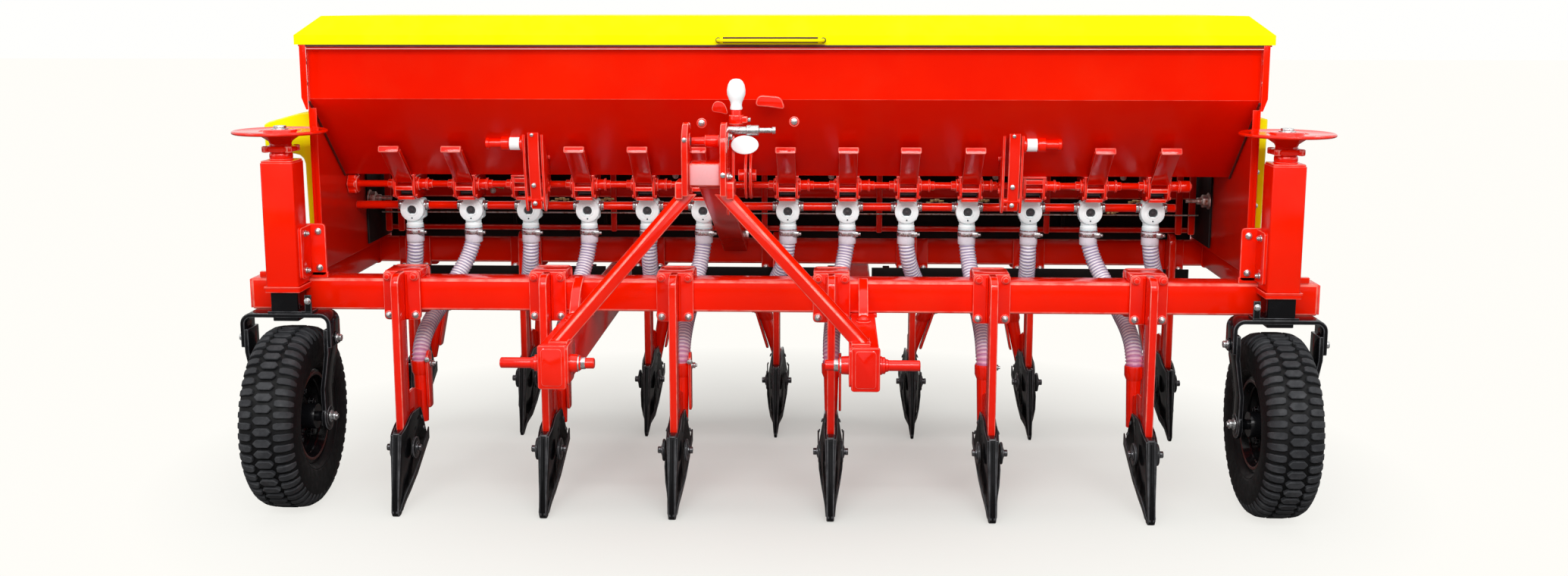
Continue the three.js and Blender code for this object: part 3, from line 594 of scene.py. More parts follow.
class Graph:
    """The nodes of one material, in the piece's own coordinates."""

    def __init__(self, name: str) -> None:
        """Starts a material with one shader.

        Args:
            name: The material's name.
        """
        self.material = bpy.data.materials.new(name)
        self.material.use_nodes = True
        self.tree = self.material.node_tree
        self.shader = self.tree.nodes["Principled BSDF"]
        self.place = self.add("ShaderNodeTexCoord").outputs["Object"]

    def add(self, kind: str, inputs: dict | None = None, **settings: object) -> bpy.types.Node:
        """Adds a node.

        Args:
            kind: Its type.
            inputs: Values, or sockets to link, by input name or number.
            settings: The node's own properties.

        Returns:
            The node.
        """
        node = self.tree.nodes.new(kind)
        for key, value in settings.items():
            setattr(node, key, value)
        for key, value in (inputs or {}).items():
            self.feed(node.inputs[key], value)
        return node

    def feed(self, socket: bpy.types.NodeSocket, value: object) -> None:
        """Sets an input to a value, or links it to another node's output."""
        if isinstance(value, bpy.types.NodeSocket):
            self.tree.links.new(value, socket)
        else:
            socket.default_value = value

    def noise(
        self, scale: float, detail: float = 3.0, rough: float = 0.55, stretch: Point3 | None = None
    ) -> bpy.types.NodeSocket:
        """Adds a noise pattern and gives its grey output."""
        place = self.place
        if stretch:
            place = self.add("ShaderNodeMapping", {"Vector": place, "Scale": stretch}).outputs["Vector"]
        node = self.add("ShaderNodeTexNoise", {"Vector": place, "Scale": scale, "Detail": detail, "Roughness": rough})
        return node.outputs["Fac"]

    def span(self, value: bpy.types.NodeSocket, source: Span, result: Span) -> bpy.types.NodeSocket:
        """Maps a value from one range to another, clamped."""
        node = self.add(
            "ShaderNodeMapRange",
            {"Value": value, "From Min": source[0], "From Max": source[1], "To Min": result[0], "To Max": result[1]},
        )
        return node.outputs["Result"]

    def blend(self, share: object, first: object, second: object) -> bpy.types.NodeSocket:
        """Mixes two colours by a share."""
        node = self.add("ShaderNodeMix", data_type="RGBA")
        for socket, value in ((0, share), (6, first), (7, second)):
            self.feed(node.inputs[socket], (*value, 1.0) if isinstance(value, tuple) else value)
        return node.outputs[2]

    def bumps(
        self, height: bpy.types.NodeSocket, depth: float, under: bpy.types.NodeSocket | None = None
    ) -> bpy.types.NodeSocket:
        """Adds a bump of a depth in metres, over another if one is given."""
        inputs: dict = {"Height": height, "Distance": depth, "Strength": 1.0}
        if under:
            inputs["Normal"] = under
        return self.add("ShaderNodeBump", inputs).outputs["Normal"]

    def finish(self, **inputs: object) -> bpy.types.Material:
        """Sets the shader's inputs, by name with underscores, and gives the material."""
        for key, value in inputs.items():
            self.feed(self.shader.inputs[key.replace("_", " ")], (*value, 1.0) if isinstance(value, tuple) else value)
        return self.material


@dataclass(frozen=True)
class Finish:
    """A surface whose material is made once, with the material slot that it stands for."""

    name: str
    slot: str | None = field(default=None, kw_only=True)
    made: ClassVar[dict[str, bpy.types.Material]] = {}

    def material(self) -> bpy.types.Material:
        """Gives the finish's material."""
        if self.name not in Finish.made:
            Finish.made[self.name] = self.build(Graph(self.name))
        return Finish.made[self.name]

    def build(self, graph: Graph) -> bpy.types.Material:
        """Makes the material in a new graph."""
        raise NotImplementedError


@dataclass(frozen=True)
class Enamel(Finish):
    """Sprayed gloss paint: slight waves and orange peel, thin dust in patches, a few small chips, and a painted
    highlight in patches along the rounded edges.
    """

    colour: Colour
    deep: Colour
    worn: Colour
    gloss: float = 0.22
    specular: float = 0.3
    # Colour of the painted highlight on rounded edges.
    edge: Colour = (1.0, 0.28, 0.22)

    def build(self, graph: Graph) -> bpy.types.Material:
        """Makes the paint's material."""
        cloud = graph.noise(2.2, 4.0)
        tone = graph.blend(graph.span(cloud, (0.35, 0.72), (0.0, 1.0)), self.colour, self.deep)
        chips = graph.span(graph.noise(75.0, 5.0, 0.7), (0.71, 0.76), (0.0, 0.6))
        dust = graph.span(graph.noise(6.0, 6.0, 0.65), (0.5, 0.85), (0.0, 0.10))
        base = graph.blend(dust, graph.blend(chips, tone, self.worn), self.worn)
        # Painted highlight: rounded edges take the pale edge colour in noisy patches, standing for gloss that catches
        # the lamps.
        rounding = graph.add("ShaderNodeAttribute", attribute_name="edge", attribute_type="GEOMETRY").outputs["Fac"]
        edge_highlight_patches = graph.span(graph.noise(34.0, 3.0), (0.35, 0.65), (0.25, 0.85))
        share = graph.add("ShaderNodeMath", {0: rounding, 1: edge_highlight_patches}, operation="MULTIPLY").outputs[0]
        base = graph.blend(share, base, self.edge)
        peel = graph.bumps(graph.noise(420.0, 2.0), 0.000015)
        waves = graph.bumps(graph.noise(11.0, 2.0), 0.00022, peel)
        rough = graph.span(graph.noise(9.0, 5.0), (0.3, 0.75), (self.gloss, self.gloss + 0.12))
        return graph.finish(Base_Color=base, Roughness=rough, Normal=waves, Specular_IOR_Level=self.specular)


@dataclass(frozen=True)
class Plating(Finish):
    """Plated steel, brushed and stained."""

    colour: Colour
    stain_and_reflection: Colour
    rough: float = 0.28

    def build(self, graph: Graph) -> bpy.types.Material:
        """Makes the plating's material."""
        patches = graph.span(graph.noise(120.0, 5.0, 0.65), (0.45, 0.7), (0.0, 1.0))
        base = graph.blend(patches, self.colour, self.stain_and_reflection)
        rough = graph.span(graph.noise(260.0, 3.0), (0.3, 0.7), (self.rough - 0.06, self.rough + 0.16))
        brushed = graph.bumps(graph.noise(900.0, 2.0, 0.5, (1.0, 1.0, 6.0)), 0.00004)
        return graph.finish(Base_Color=base, Roughness=rough, Metallic=0.9, Normal=brushed)


@dataclass(frozen=True)
class Rubber(Finish):
    """Moulded rubber with fine grain and pale dust where it is worn."""

    colour: Colour
    dust: Colour
    dusty: Span = (0.45, 0.75)

    def build(self, graph: Graph) -> bpy.types.Material:
        """Makes the rubber's material."""
        base = graph.blend(graph.span(graph.noise(28.0, 6.0, 0.7), self.dusty, (0.0, 0.85)), self.colour, self.dust)
        rough = graph.span(graph.noise(60.0, 4.0), (0.3, 0.7), (0.5, 0.72))
        grain = graph.bumps(graph.noise(700.0, 3.0, 0.6), 0.00012)
        return graph.finish(Base_Color=base, Roughness=rough, Normal=grain, Specular_IOR_Level=0.18)


@dataclass(frozen=True)
class Moulding(Finish):
    """Plain moulded plastic, faintly uneven, with handling marks."""

    colour: Colour
    mark: Colour
    rough: float = 0.34
    # Painted glow: emission that brightens the plastic as if more light fell on it.
    painted_glow: Colour = (0.0, 0.0, 0.0)

    def build(self, graph: Graph) -> bpy.types.Material:
        """Makes the plastic's material, with a painted glow where one is given, which brightens it as more light would.
        """
        marks = graph.span(graph.noise(70.0, 6.0, 0.7), (0.5, 0.78), (0.0, 0.6))
        base = graph.blend(marks, self.colour, self.mark)
        rough = graph.span(graph.noise(40.0, 3.0), (0.3, 0.7), (self.rough, self.rough + 0.15))
        skin = graph.bumps(graph.noise(500.0, 2.0), 0.00005)
        painted_glow_inputs = {"Emission_Color": self.painted_glow, "Emission_Strength": 1.0} if any(self.painted_glow) else {}
        return graph.finish(Base_Color=base, Roughness=rough, Normal=skin, **painted_glow_inputs)


@dataclass(frozen=True)
class RibbedHose(Finish):
    """Clear corrugated hose: pale ridges, valleys painted dusky lilac as shade in the corrugations, and a painted red
    reflection that rises from the boot.
    """

    ridge: Colour
    valley: Colour
    stain_and_reflection: Colour

    def build(self, graph: Graph) -> bpy.types.Material:
        """Makes the hose's material, from the tube's own ridge and along attributes."""
        ridge, along = (
            graph.add("ShaderNodeAttribute", attribute_name=name, attribute_type="GEOMETRY").outputs["Fac"]
            for name in ("ridge", "along")
        )
        cloud = graph.span(graph.noise(26.0, 4.0), (0.3, 0.7), (-0.15, 0.15))
        share = graph.add("ShaderNodeMath", {0: ridge, 1: cloud}, operation="ADD", use_clamp=True).outputs[0]
        # Painted shade: the valleys take the dusky colour.
        base = graph.blend(share, self.valley, self.ridge)
        # Painted reflection: the red of the boot, rising from the boot end.
        boot_reflection_mixed = graph.blend(graph.span(along, (0.84, 0.99), (0.0, 0.75)), base, self.stain_and_reflection)
        skin = graph.bumps(graph.noise(300.0, 2.0), 0.0001)
        rough = graph.span(graph.noise(50.0, 3.0), (0.3, 0.7), (0.22, 0.36))
        return graph.finish(Base_Color=boot_reflection_mixed, Roughness=rough, Normal=skin, Specular_IOR_Level=0.5)


# Each enamel's edge colour, given last or left at the default, is a painted highlight on its rounded edges.
DUSTY_RED = (0.95, 0.10, 0.03)
RED = Enamel(
    "red_enamel", (0.97, 0.0135, 0.0), (0.90, 0.009, 0.0), DUSTY_RED, 0.10, 0.18, slot="red_paint"
)
SHEET_RED = Enamel(
    "sheet_red_enamel", (0.96, 0.0135, 0.0), (0.86, 0.007, 0.0), DUSTY_RED, 0.14, 0.07, (1.0, 0.12, 0.08),
    slot="red_paint",
)
CAST_RED = Enamel(
    "cast_red_enamel", (0.95, 0.013, 0.0), (0.82, 0.007, 0.0), (0.95, 0.12, 0.05), 0.07, 0.42, slot="red_paint"
)
# Painted highlight: a pale pink red for thin lines and faces that stand for glints on the red paint.
HIGHLIGHT_RED = Enamel(
    "painted_highlight_red_enamel", (0.9, 0.48, 0.5), (0.84, 0.3, 0.3), (0.9, 0.6, 0.6), 0.25, 0.4, slot="red_paint"
)
YELLOW = Enamel(
    "yellow_enamel", (0.99, 0.94, 0.001), (0.96, 0.88, 0.001), (0.93, 0.84, 0.12), 0.36, 0.03, (1.0, 0.99, 0.16),
    slot="yellow_paint",
)
BLACK = Enamel(
    "black_enamel", (0.003, 0.0032, 0.004), (0.005, 0.005, 0.006), (0.10, 0.10, 0.11), 0.09, 0.2, (0.12, 0.122, 0.13),
    slot="black_paint",
)
# Near black that stands for painted shade behind the feed row.
SHADE_BLACK = Enamel(
    "shade_black_enamel", (0.006, 0.005, 0.005), (0.012, 0.009, 0.008), (0.05, 0.04, 0.04), 0.55, 0.1,
    (0.05, 0.04, 0.04), slot="black_paint",
)
# Dark brown: painted shade for the hopper's gap lines and the lid handle's outlines and shadow, and the colour of the
# wheel rims' lips.
SHADE_AND_RIM_BROWN = Enamel("shade_lines_and_rim_lip_enamel", (0.09, 0.012, 0.008), (0.03, 0.008, 0.006), (0.2, 0.05, 0.03), 0.3, 0.4)
ZINC = Plating("bright_zinc", (0.60, 0.61, 0.62), (0.30, 0.29, 0.28), 0.22)
OILED_STEEL = Plating("oiled_steel", (0.17, 0.17, 0.18), (0.05, 0.05, 0.055), 0.2)
RUSTED_ZINC = Plating("rusting_zinc", (0.6, 0.57, 0.54), (0.3, 0.13, 0.06), 0.4)
YELLOW_ZINC = Plating("yellow_zinc", (0.62, 0.5, 0.22), (0.35, 0.25, 0.1), 0.36)
TREAD = Rubber("tread_rubber", (0.026, 0.027, 0.030), (0.07, 0.072, 0.077), slot="tyre")
CARCASS = Rubber("carcass_rubber", (0.0025, 0.0026, 0.003), (0.008, 0.0085, 0.010), (0.55, 0.9), slot="tyre")
# White plastic with a faint painted cyan glow, which brightens the outlets, knob, tag and sleeves as more light would.
WHITE = Moulding(
    "white_plastic", (0.97, 1.0, 1.0), (0.86, 0.92, 0.94), 0.34, (0.05, 0.13, 0.135), slot="white_plastic"
)
CUFF = Moulding("hose_cuff_plastic", (0.84, 0.84, 0.92), (0.62, 0.61, 0.70), 0.2, slot="hose_plastic")
# Painted shade: near black for the insides of holes and bores and the housings' slots.
RECESS_SHADE = Moulding("recess_shade_dark", (0.035, 0.035, 0.04), (0.1, 0.1, 0.1), 0.5)
# Ridge colour, valley colour painted darker as shade, and the boot's painted red reflection.
HOSE = RibbedHose("ribbed_hose", (0.99, 0.97, 1.0), (0.36, 0.32, 0.50), (0.72, 0.10, 0.28), slot="hose_plastic")


# ---- The studio ----


@dataclass
class Studio:
    """A pale floor, soft lights, and the camera in front of the hitch."""

    eye: Point3 = (0.1279, -3.6367, 1.1667)
    pitch: float = math.pi / 2 - 0.1611
    turn: float = 0.0338
    lens: float = 34.28
    shift_y: float = -0.0248
    dimmed: float = 0.20  # the world's strength as a light, against 1 where it is seen
    floor_half: float = 30.0
    floor_z: float = -0.0005

    def set_camera(self) -> None:
        """Puts the camera a little above the hitch, level with the lid."""
        data = bpy.data.cameras.new("camera")
        data.lens, data.sensor_width, data.shift_y = self.lens, 36.0, self.shift_y
        data.clip_start, data.clip_end = 0.05, 200.0
        camera = bpy.data.objects.new("camera", data)
        camera.location, camera.rotation_euler = self.eye, (self.pitch, 0.0, self.turn)
        bpy.context.scene.collection.objects.link(camera)
        bpy.context.scene.camera = camera

    def _lamp(self, name: str, place: Point3, aim: Point3, size: Span, power: float) -> None:
        """Adds a soft rectangular lamp that faces a point."""
        data = bpy.data.lights.new(name, "AREA")
        data.shape, data.size, data.size_y = "RECTANGLE", *size
        data.energy = power
        lamp = bpy.data.objects.new(name, data)
        lamp.location = place
        lamp.rotation_euler = (Vector(place) - Vector(aim)).to_track_quat("Z", "Y").to_euler()
        bpy.context.scene.collection.objects.link(lamp)

    def light(self) -> None:
        """Sets the lamps and the world."""
        for lamp in (
            ("front_softbox", (0.2, -5.0, 3.5), (0.0, 0.0, 0.7), (6.0, 1.8), 262.0),
            ("overhead_softbox", (0.0, -0.8, 4.4), (0.0, 0.0, 0.3), (6.0, 4.0), 70.0),
            ("left_strip", (-4.4, -2.2, 1.8), (-0.6, 0.0, 0.6), (2.0, 2.6), 26.0),
            ("right_strip", (4.6, -1.6, 1.8), (0.6, 0.0, 0.6), (2.0, 2.6), 20.0),
            ("front_glint", (0.0, -4.6, 4.0), (0.0, 0.0, 0.6), (7.0, 0.1), 48.0),
            ("rear_glint", (0.0, 2.6, 4.0), (0.0, 0.0, 0.6), (7.0, 0.1), 26.0),
        ):
            self._lamp(*lamp)
        world = bpy.data.worlds.new("studio_air")
        bpy.context.scene.world = world
        world.use_nodes = True
        tree = world.node_tree
        back = tree.nodes["Background"]
        path = tree.nodes.new("ShaderNodeLightPath")
        seen = path.outputs["Is Camera Ray"]
        for ray in ("Is Glossy Ray", "Is Transmission Ray"):
            either = tree.nodes.new("ShaderNodeMath")
            either.operation = "MAXIMUM"
            tree.links.new(seen, either.inputs[0])
            tree.links.new(path.outputs[ray], either.inputs[1])
            seen = either.outputs[0]
        level = tree.nodes.new("ShaderNodeMapRange")
        level.inputs["To Min"].default_value, level.inputs["To Max"].default_value = self.dimmed, 1.0
        tree.links.new(seen, level.inputs["Value"])
        tree.links.new(level.outputs["Result"], back.inputs["Strength"])
        back.inputs["Color"].default_value = (1.0, 0.998, 0.985, 1.0)

    def lay_floor(self) -> None:
        """Lays the floor, warm grey near the machine and fading to white around it."""
        sheet = bmesh.new()
        bmesh.ops.create_grid(sheet, x_segments=2, y_segments=2, size=self.floor_half)
        mesh = bpy.data.meshes.new("studio_floor")
        sheet.to_mesh(mesh)
        sheet.free()
        mesh.transform(shifted(z=self.floor_z))
        floor = bpy.data.objects.new("studio_floor", mesh)
        bpy.context.scene.collection.objects.link(floor)
        graph = Graph("studio_floor")
        near = graph.add(
            "ShaderNodeMapping", {"Vector": graph.place, "Location": (0.0, -0.08, 0.0), "Scale": (0.62, 0.75, 1.0)}
        ).outputs["Vector"]
        far = graph.add("ShaderNodeVectorMath", {0: near}, operation="LENGTH").outputs["Value"]
        camera = graph.add("ShaderNodeLightPath").outputs["Is Camera Ray"]
        tone = graph.blend(camera, (0.25, 0.245, 0.235), (0.72, 0.755, 0.73))
        graph.finish(Base_Color=tone, Roughness=0.9, Specular_IOR_Level=0.05)
        glow = graph.add("ShaderNodeEmission", {"Color": (1.0, 0.985, 0.94, 1.0), "Strength": 1.0}).outputs[0]
        veil = graph.add(
            "ShaderNodeMath", {0: camera, 1: graph.span(far, (0.3, 1.0), (0.34, 1.0))}, operation="MULTIPLY"
        ).outputs[0]
        mixed = graph.add("ShaderNodeMixShader", {0: veil, 1: graph.shader.outputs[0], 2: glow}).outputs[0]
        output = next(n for n in graph.tree.nodes if n.type == "OUTPUT_MATERIAL")
        graph.feed(output.inputs["Surface"], mixed)
        mesh.materials.append(graph.material)


# ---- Seed hoses ----


class Row(Enum):
    """The cross bar that a tine is clamped to."""

    FRONT = "front"
    REAR = "rear"


OUTLETS = (-958, -805, -656, -504, -350, -207, 10, 162, 313, 468, 626, 778, 935)  # across, mm
OUTLET_Y = 350.0
BAR_TOP = 536.5
REAR_BAR_Y = middle("rear_bar").y


@dataclass
class SeedHose:
    """One corrugated hose from an outlet down to a seed boot; its cuff and clamp are built with the outlets."""

    number: int
    outlet_x: float
    tine_x: float
    row: Row
    lean: float
    diameter: float = 40.0
    pitch: float = 8.5
    ridge: float = 1.07
    valley: float = 0.95
    cuff_end: int = 5  # points of the line inside the cuff
    pass_x: float = 31.5
    pass_z: float = 410.0
    boot_setback: float = 85.0
    boot_heights: Span = (160.0, 300.0)

    def route(self) -> list[Point3]:
        """Gives the points that the hose follows, in drawing millimetres."""
        pass_z, end = self.pass_z, self.boot_heights[1] + 1.0
        front = [
            (0, 603, 0, 0), (0, 585, 0, 0), (0.004, 564, 0, 0.04), (0.045, 525, 0, 0.2), (0.16, 482, 0, 0.46),
            (0.33, 445, 0, 0.66), (0.54, 414, 0, 0.82), (0.736, 388, 0, 0.93), (0.89, 360, 0, 0.99),
            (0.98, 332, 0, 1), (1, 316, 0, 1), (1, end, 0, 1),
        ]
        rear = [
            (0, 603, 0, 0), (0, 585, 0, 0), (0.0025, 564, 0.02, 0), (0.027, 522, 0.12, 0), (0.09, 478, 0.34, 0),
            (0.18, pass_z + 32, 0.6, 0), (0.3, pass_z + 10, 0.84, 0), (0.44, pass_z + 1, 1, 0), (0.595, pass_z, 1, 0),
            (0.742, pass_z, 0.96, 0.04), (0.862, pass_z - 10, 0.6, 0.4), (0.951, 374, 0.2, 0.8), (0.993, 343, 0, 1),
            (1, 320, 0, 1), (1, end, 0, 1),
        ]
        rows = front if self.row is Row.FRONT else rear
        boot_y = self.boot_setback + (REAR_BAR_Y if self.row is Row.REAR else 0.0)
        pass_x = math.copysign(self.pass_x, self.lean)
        low, high = self.boot_heights
        return [
            (
                self.tine_x
                + (self.outlet_x - self.tine_x) * (1 - passing - booted)
                + pass_x * passing
                + self.lean * (z - low) / (high - low) * booted,
                OUTLET_Y + (boot_y - OUTLET_Y) * back,
                z,
            )
            for back, z, passing, booted in rows
        ]

    def build(self) -> None:
        line = eased(self.route(), self.pitch / 4)
        shares = [self.ridge if i < self.cuff_end or i % 4 < 2 else self.valley for i in range(len(line))]
        mesh = swept([tuple(p) for p in line], shares, self.diameter / 2, 20)
        name = f"ribbed_hose_{self.number}"
        mesh.name = name
        self.mark(mesh, line, shares)
        mesh.transform(TO_FRAME)
        mesh.polygons.foreach_set("use_smooth", [True] * len(mesh.polygons))
        piece = bpy.data.objects.new(name, mesh)
        report(piece, HOSE, "frame", HOSE.slot, [f"seed_hose_{self.number}"])
        path = [tuple(TO_FRAME @ p) for p in line]
        length = sum((b - a).length for a, b in zip(line, line[1:])) * MM
        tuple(path[0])

    def mark(self, mesh: bpy.types.Mesh, line: list[Vector], shares: list[float]) -> None:
        """Writes how far along and how far out each vertex lies.

        Args:
            mesh: The tube, in drawing millimetres.
            line: Its centre line.
            shares: The share of the radius at each point of the line.
        """
        ring = len(mesh.vertices) // len(line)
        ridge, along = (mesh.attributes.new(name, "FLOAT", "POINT") for name in ("ridge", "along"))
        for i in range(len(mesh.vertices)):
            place = min(i // ring, len(line) - 1)
            ridge.data[i].value = (shares[place] - self.valley) / (self.ridge - self.valley)
            along.data[i].value = place / (len(line) - 1)


FRONT_TINES = (-882, -539, -241, 123, 493, 853)
REAR_TINES = (-1040, -728, -384, -29, 344, 664, 1043)
REAR_LEANS = (27, 14, 26, -42, 46, -28, -26)


def seed_hoses() -> Iterator[SeedHose]:
    """Gives the hoses in order; the outlets feed a rear and a front tine by turns."""
    for i, outlet in enumerate(OUTLETS):
        if i % 2:
            yield SeedHose(i + 1, outlet, FRONT_TINES[i // 2], Row.FRONT, 0.0)
        else:
            yield SeedHose(i + 1, outlet, REAR_TINES[i // 2], Row.REAR, REAR_LEANS[i // 2])


# ---- Assemblies ----


class Assembly:
    """A part of the machine that is built and dressed in one go."""

    def build(self) -> None:
        """Builds the assembly's pieces."""
        raise NotImplementedError


@dataclass
class CrossFrame(Assembly):
    """Two square cross bars and the two side members between them."""

    edge: float = 6.0
    cap: float = 4.0

    def build(self) -> None:
        """Builds the bars with their rounded corners and welded end caps."""
        for name in ("front_bar", "rear_bar"):
            low, high = node_box(name)
            form = Form().block((low.x + self.cap, high.x - self.cap), (low.y, high.y), (low.z, high.z), self.edge, 3)
            for x in ((low.x, low.x + self.cap), (high.x - self.cap, high.x)):
                form.block(x, (low.y + 3, high.y - 3), (low.z + 3, high.z - 3), 1.2)
            form.deliver(f"{name}_tube", RED, name)
        for side in Side:
            low, high = node_box(f"side_member_{side.value}")
            form = Form().block((low.x, high.x), (low.y, high.y), (low.z, high.z), self.edge, 3)
            for y, out in ((low.y, 1), (high.y, -1)):
                bead = rounded(rectangle((low.x - 1, high.x + 1), (low.z - 1, high.z + 1)), 8)
                form.wire([(u, y + out * 2.5, v) for u, v in bead], 3.0, 8, closed=True)
            form.deliver(f"side_tube_{side.value}", RED, f"side_member_{side.value}")


@dataclass
class Tine(Assembly):
    """A clamp, a shank, a seed boot and a winged opener on one of the cross bars."""

    node: str
    x: float
    bar_y: float
    lean: float = 0.0
    clamp_half: float = 43.0
    clamp_heights: Span = (441.0, 557.0)
    clamp_seat: float = 37.8
    clamp_back: float = 48.8
    bolt_x: float = 31.0
    bolt_heights: Span = (453.2, 545.0)
    shank_half: float = 9.0
    shank_front: float = -108.8
    boot_y: float = 85.0
    boot_heights: Span = (160.0, 300.0)
    boot_plate: Span = (18.5, 24.5)
    boot_bolt: Point2 = (83.0, 305.0)
    boss_at: Point2 = (-78.0, 140.0)
    nose: Point2 = (-174.8, 7.6)
    knee: Point2 = (-100.0, 26.0)
    tail: Point2 = (30.0, 29.0)
    waist: float = 0.40
    belly: float = 105.0

    @property
    def boot_side(self) -> int:
        """Gives the side of the boot that its plate is on, which is the side that it leans to."""
        return -1 if self.lean < 0 else 1

    def place(self) -> Matrix:
        """Gives the tine's place on its bar."""
        return shifted(self.x, self.bar_y)

    def steel(self) -> Form:
        """Shapes the clamp plates, the shank, the web and the two painted bolts."""
        low, high = self.clamp_heights
        form = Form()
        for out in (-1, 1):
            span = ordered(out * self.clamp_seat, out * self.clamp_back)
            form.panel(Axis.Y, (-self.clamp_half, self.clamp_half), (low, high), 11, span, 1.4)
            for x in (-self.bolt_x, self.bolt_x):
                form.bolt(Axis.Y, out * (self.clamp_back + 3), (x, self.bolt_heights[1]), out, 12.5)
                for z in self.bolt_heights:
                    reach = ordered(out * (self.clamp_back - 1), out * (self.clamp_back + 3))
                    form.rod(Axis.Y, 10.5, reach, (x, z), 20, 1.2)
        side = self.clamp_half - 1
        form.block((-side, side), (-self.clamp_seat, self.clamp_seat), (BAR_TOP + GAP, high - 0.6), 2.5)
        back, front = -self.clamp_back + 1, self.shank_front
        shank = [(back, high), *arc((front + 26, high - 26), 26, 90, 180, 7), (front, 120), (back, 120)]
        form.plate(Axis.X, shank, (-self.shank_half, self.shank_half), 2.2)
        for x in (-self.shank_half - 2, self.shank_half + 2):
            form.wire([(x, back - 3, low + 4), (x, back - 3, high - 6)], 3.0, 8)
        return form.plate(
            Axis.X, [(back, 190), (self.boot_y, 190), (self.boot_y, 236), (10, 262), (back, 262)], (-4, 4), 1.0
        )

    def boot(self) -> Form:
        """Shapes the seed tube with its socket, and the plate beside it."""
        low, high = self.boot_heights
        form = Form()
        form.rod(Axis.Z, 14.5, (low, high - 20), (0, self.boot_y), 28, 0, end_radius=18.0)
        form.lathe(
            Axis.Z,
            [
                (20.4, high + 13), (22.6, high + 12), (23.4, high + 8), (22.8, high - 12), (18.6, high - 22),
                (17.6, high - 22), (20.4, high - 4),
            ],
            (0, self.boot_y, 0),
            28,
        )
        out = self.boot_side
        outline = rounded([(66, 196), (60, 322), (70, 338), (92, 338), (100, 322), (98, 196)], 8)
        form.plate(Axis.X, outline, ordered(*(out * x for x in self.boot_plate)), 1.2)
        return form.reshape(self.leaning)

    def leaning(self, place: Vector) -> Vector:
        """Tilts a point of the boot sideways, more the higher it lies."""
        low, high = self.boot_heights
        return place + Vector((self.lean * (place.z - low) / (high - low), 0, 0))

    def wing(self, side: int) -> Form:
        """Shapes one side of the opener, spread towards the rear."""
        nose, tail = self.nose, self.tail
        outline = [
            (-142.8, 188), (nose[0], 12), (-166.8, 0), (-150.8, 0), (-60, 60), (26, 127), (22, 206), (14, 214),
            (-50, 217),
        ]
        skid = [(-168, 14), (-158, 8), (-146, 9), (-58, 68), (24, 134), (24, 162), (-66, 96)]
        form = Form()
        form.plate(Axis.X, outline, (-6.0, 0.0), 1.3)
        form.plate(Axis.X, skid, (-0.5, 3.0), 1.0)
        form.rod(Axis.X, 26.0, (-3.0, 3.0), self.boss_at, 36, 2.2)
        form.rod(Axis.X, 15.0, (2.5, 5.0), self.boss_at, 28, 1.2)
        for y, z in ((4, 192), (-4, 168)):
            form.dome(Axis.X, 0.0, (y, z), 1, 5.0)
        knee = self.knee
        form.score((0, 1, 0), (nose[0] + 40, knee[0] - 22, knee[0], knee[0] + 22))

        def spread(place: Vector) -> Vector:
            """Moves a point outwards, quickly up to the knee and slowly behind it."""
            start, end = (nose, knee) if place.y < knee[0] else (knee, tail)
            share = (place.y - start[0]) / (end[0] - start[0])
            spare = max(start[1] + (end[1] - start[1]) * share - nose[1], 0)
            swell = min(1, max(0.1, place.z / self.belly)) * (
                1 - (1 - self.waist) * min(1, max(0, (place.z - 165) / 40))
            )
            out = nose[1] + spare * swell
            return Vector((side * (place.x + out), place.y, place.z))

        return form.reshape(spread)

    def opener(self) -> Form:
        """Shapes the opener: two wings on a solid nose."""
        form = Form()
        for side in (-1, 1):
            form.join(self.wing(side))
        nose = [(-143.5, 192), (-176.0, 12), (-168, -0.2), (-151, 0), (-118, 60), (-108, 192)]
        form.plate(Axis.X, nose, (-9.0, 9.0), 3.0, 3)
        form.wire([(0, -145.0, 184), (0, -161.5, 100), (0, -176.6, 16), (0, -171.5, 4)], 2.6, 8)
        tip = 0.45 if self.bar_y > 0 else 1.0
        return form.reshape(
            lambda v: Vector((v.x * (tip + (1 - tip) * min(1, max(0, v.z / 95))), v.y, v.z)) if v.y < -100 else v
        )

    def bolts(self) -> Form:
        """Shapes the plated bolts of the clamp and of the boot."""
        form, out = Form(), self.boot_side
        for x in (-self.bolt_x, self.bolt_x):
            for way in (-1, 1):
                form.bolt(Axis.Y, way * (self.clamp_back + 3), (x, self.bolt_heights[0]), way, 11.0, 3.0)
        side = self.leaning(Vector((out * self.boot_plate[1], 0, self.boot_bolt[1]))).x
        form.bolt(Axis.X, side, self.boot_bolt, out, 13.0, 4.0)
        return form.bolt(Axis.Y, 63.0, (side - out * 3, 318), -1, 9.0)

    def studs(self) -> Form:
        """Shapes the two bolts on the opener's bosses."""
        form = Form()
        for way in (-1, 1):
            form.bolt(Axis.X, way * (self.knee[1] + 4.5), self.boss_at, way, 15.0)
        return form

    def build(self) -> None:
        """Builds the tine's five pieces."""
        for form, part, finish in (
            (self.steel(), "steel", CAST_RED),
            (self.boot(), "boot", CAST_RED),
            (self.opener(), "opener", BLACK),
            (self.bolts(), "bolts", ZINC),
            (self.studs(), "studs", OILED_STEEL),
        ):
            form.move(self.place()).deliver(f"{self.node}_{part}", finish, self.node)


def tines() -> Iterator[Tine]:
    """Gives the tines of both bars."""
    for i, x in enumerate(FRONT_TINES):
        yield Tine(f"front_tine_{i + 1}", x, 0.0)
    for i, (x, lean) in enumerate(zip(REAR_TINES, REAR_LEANS)):
        yield Tine(f"rear_tine_{i + 1}", x, REAR_BAR_Y, lean)


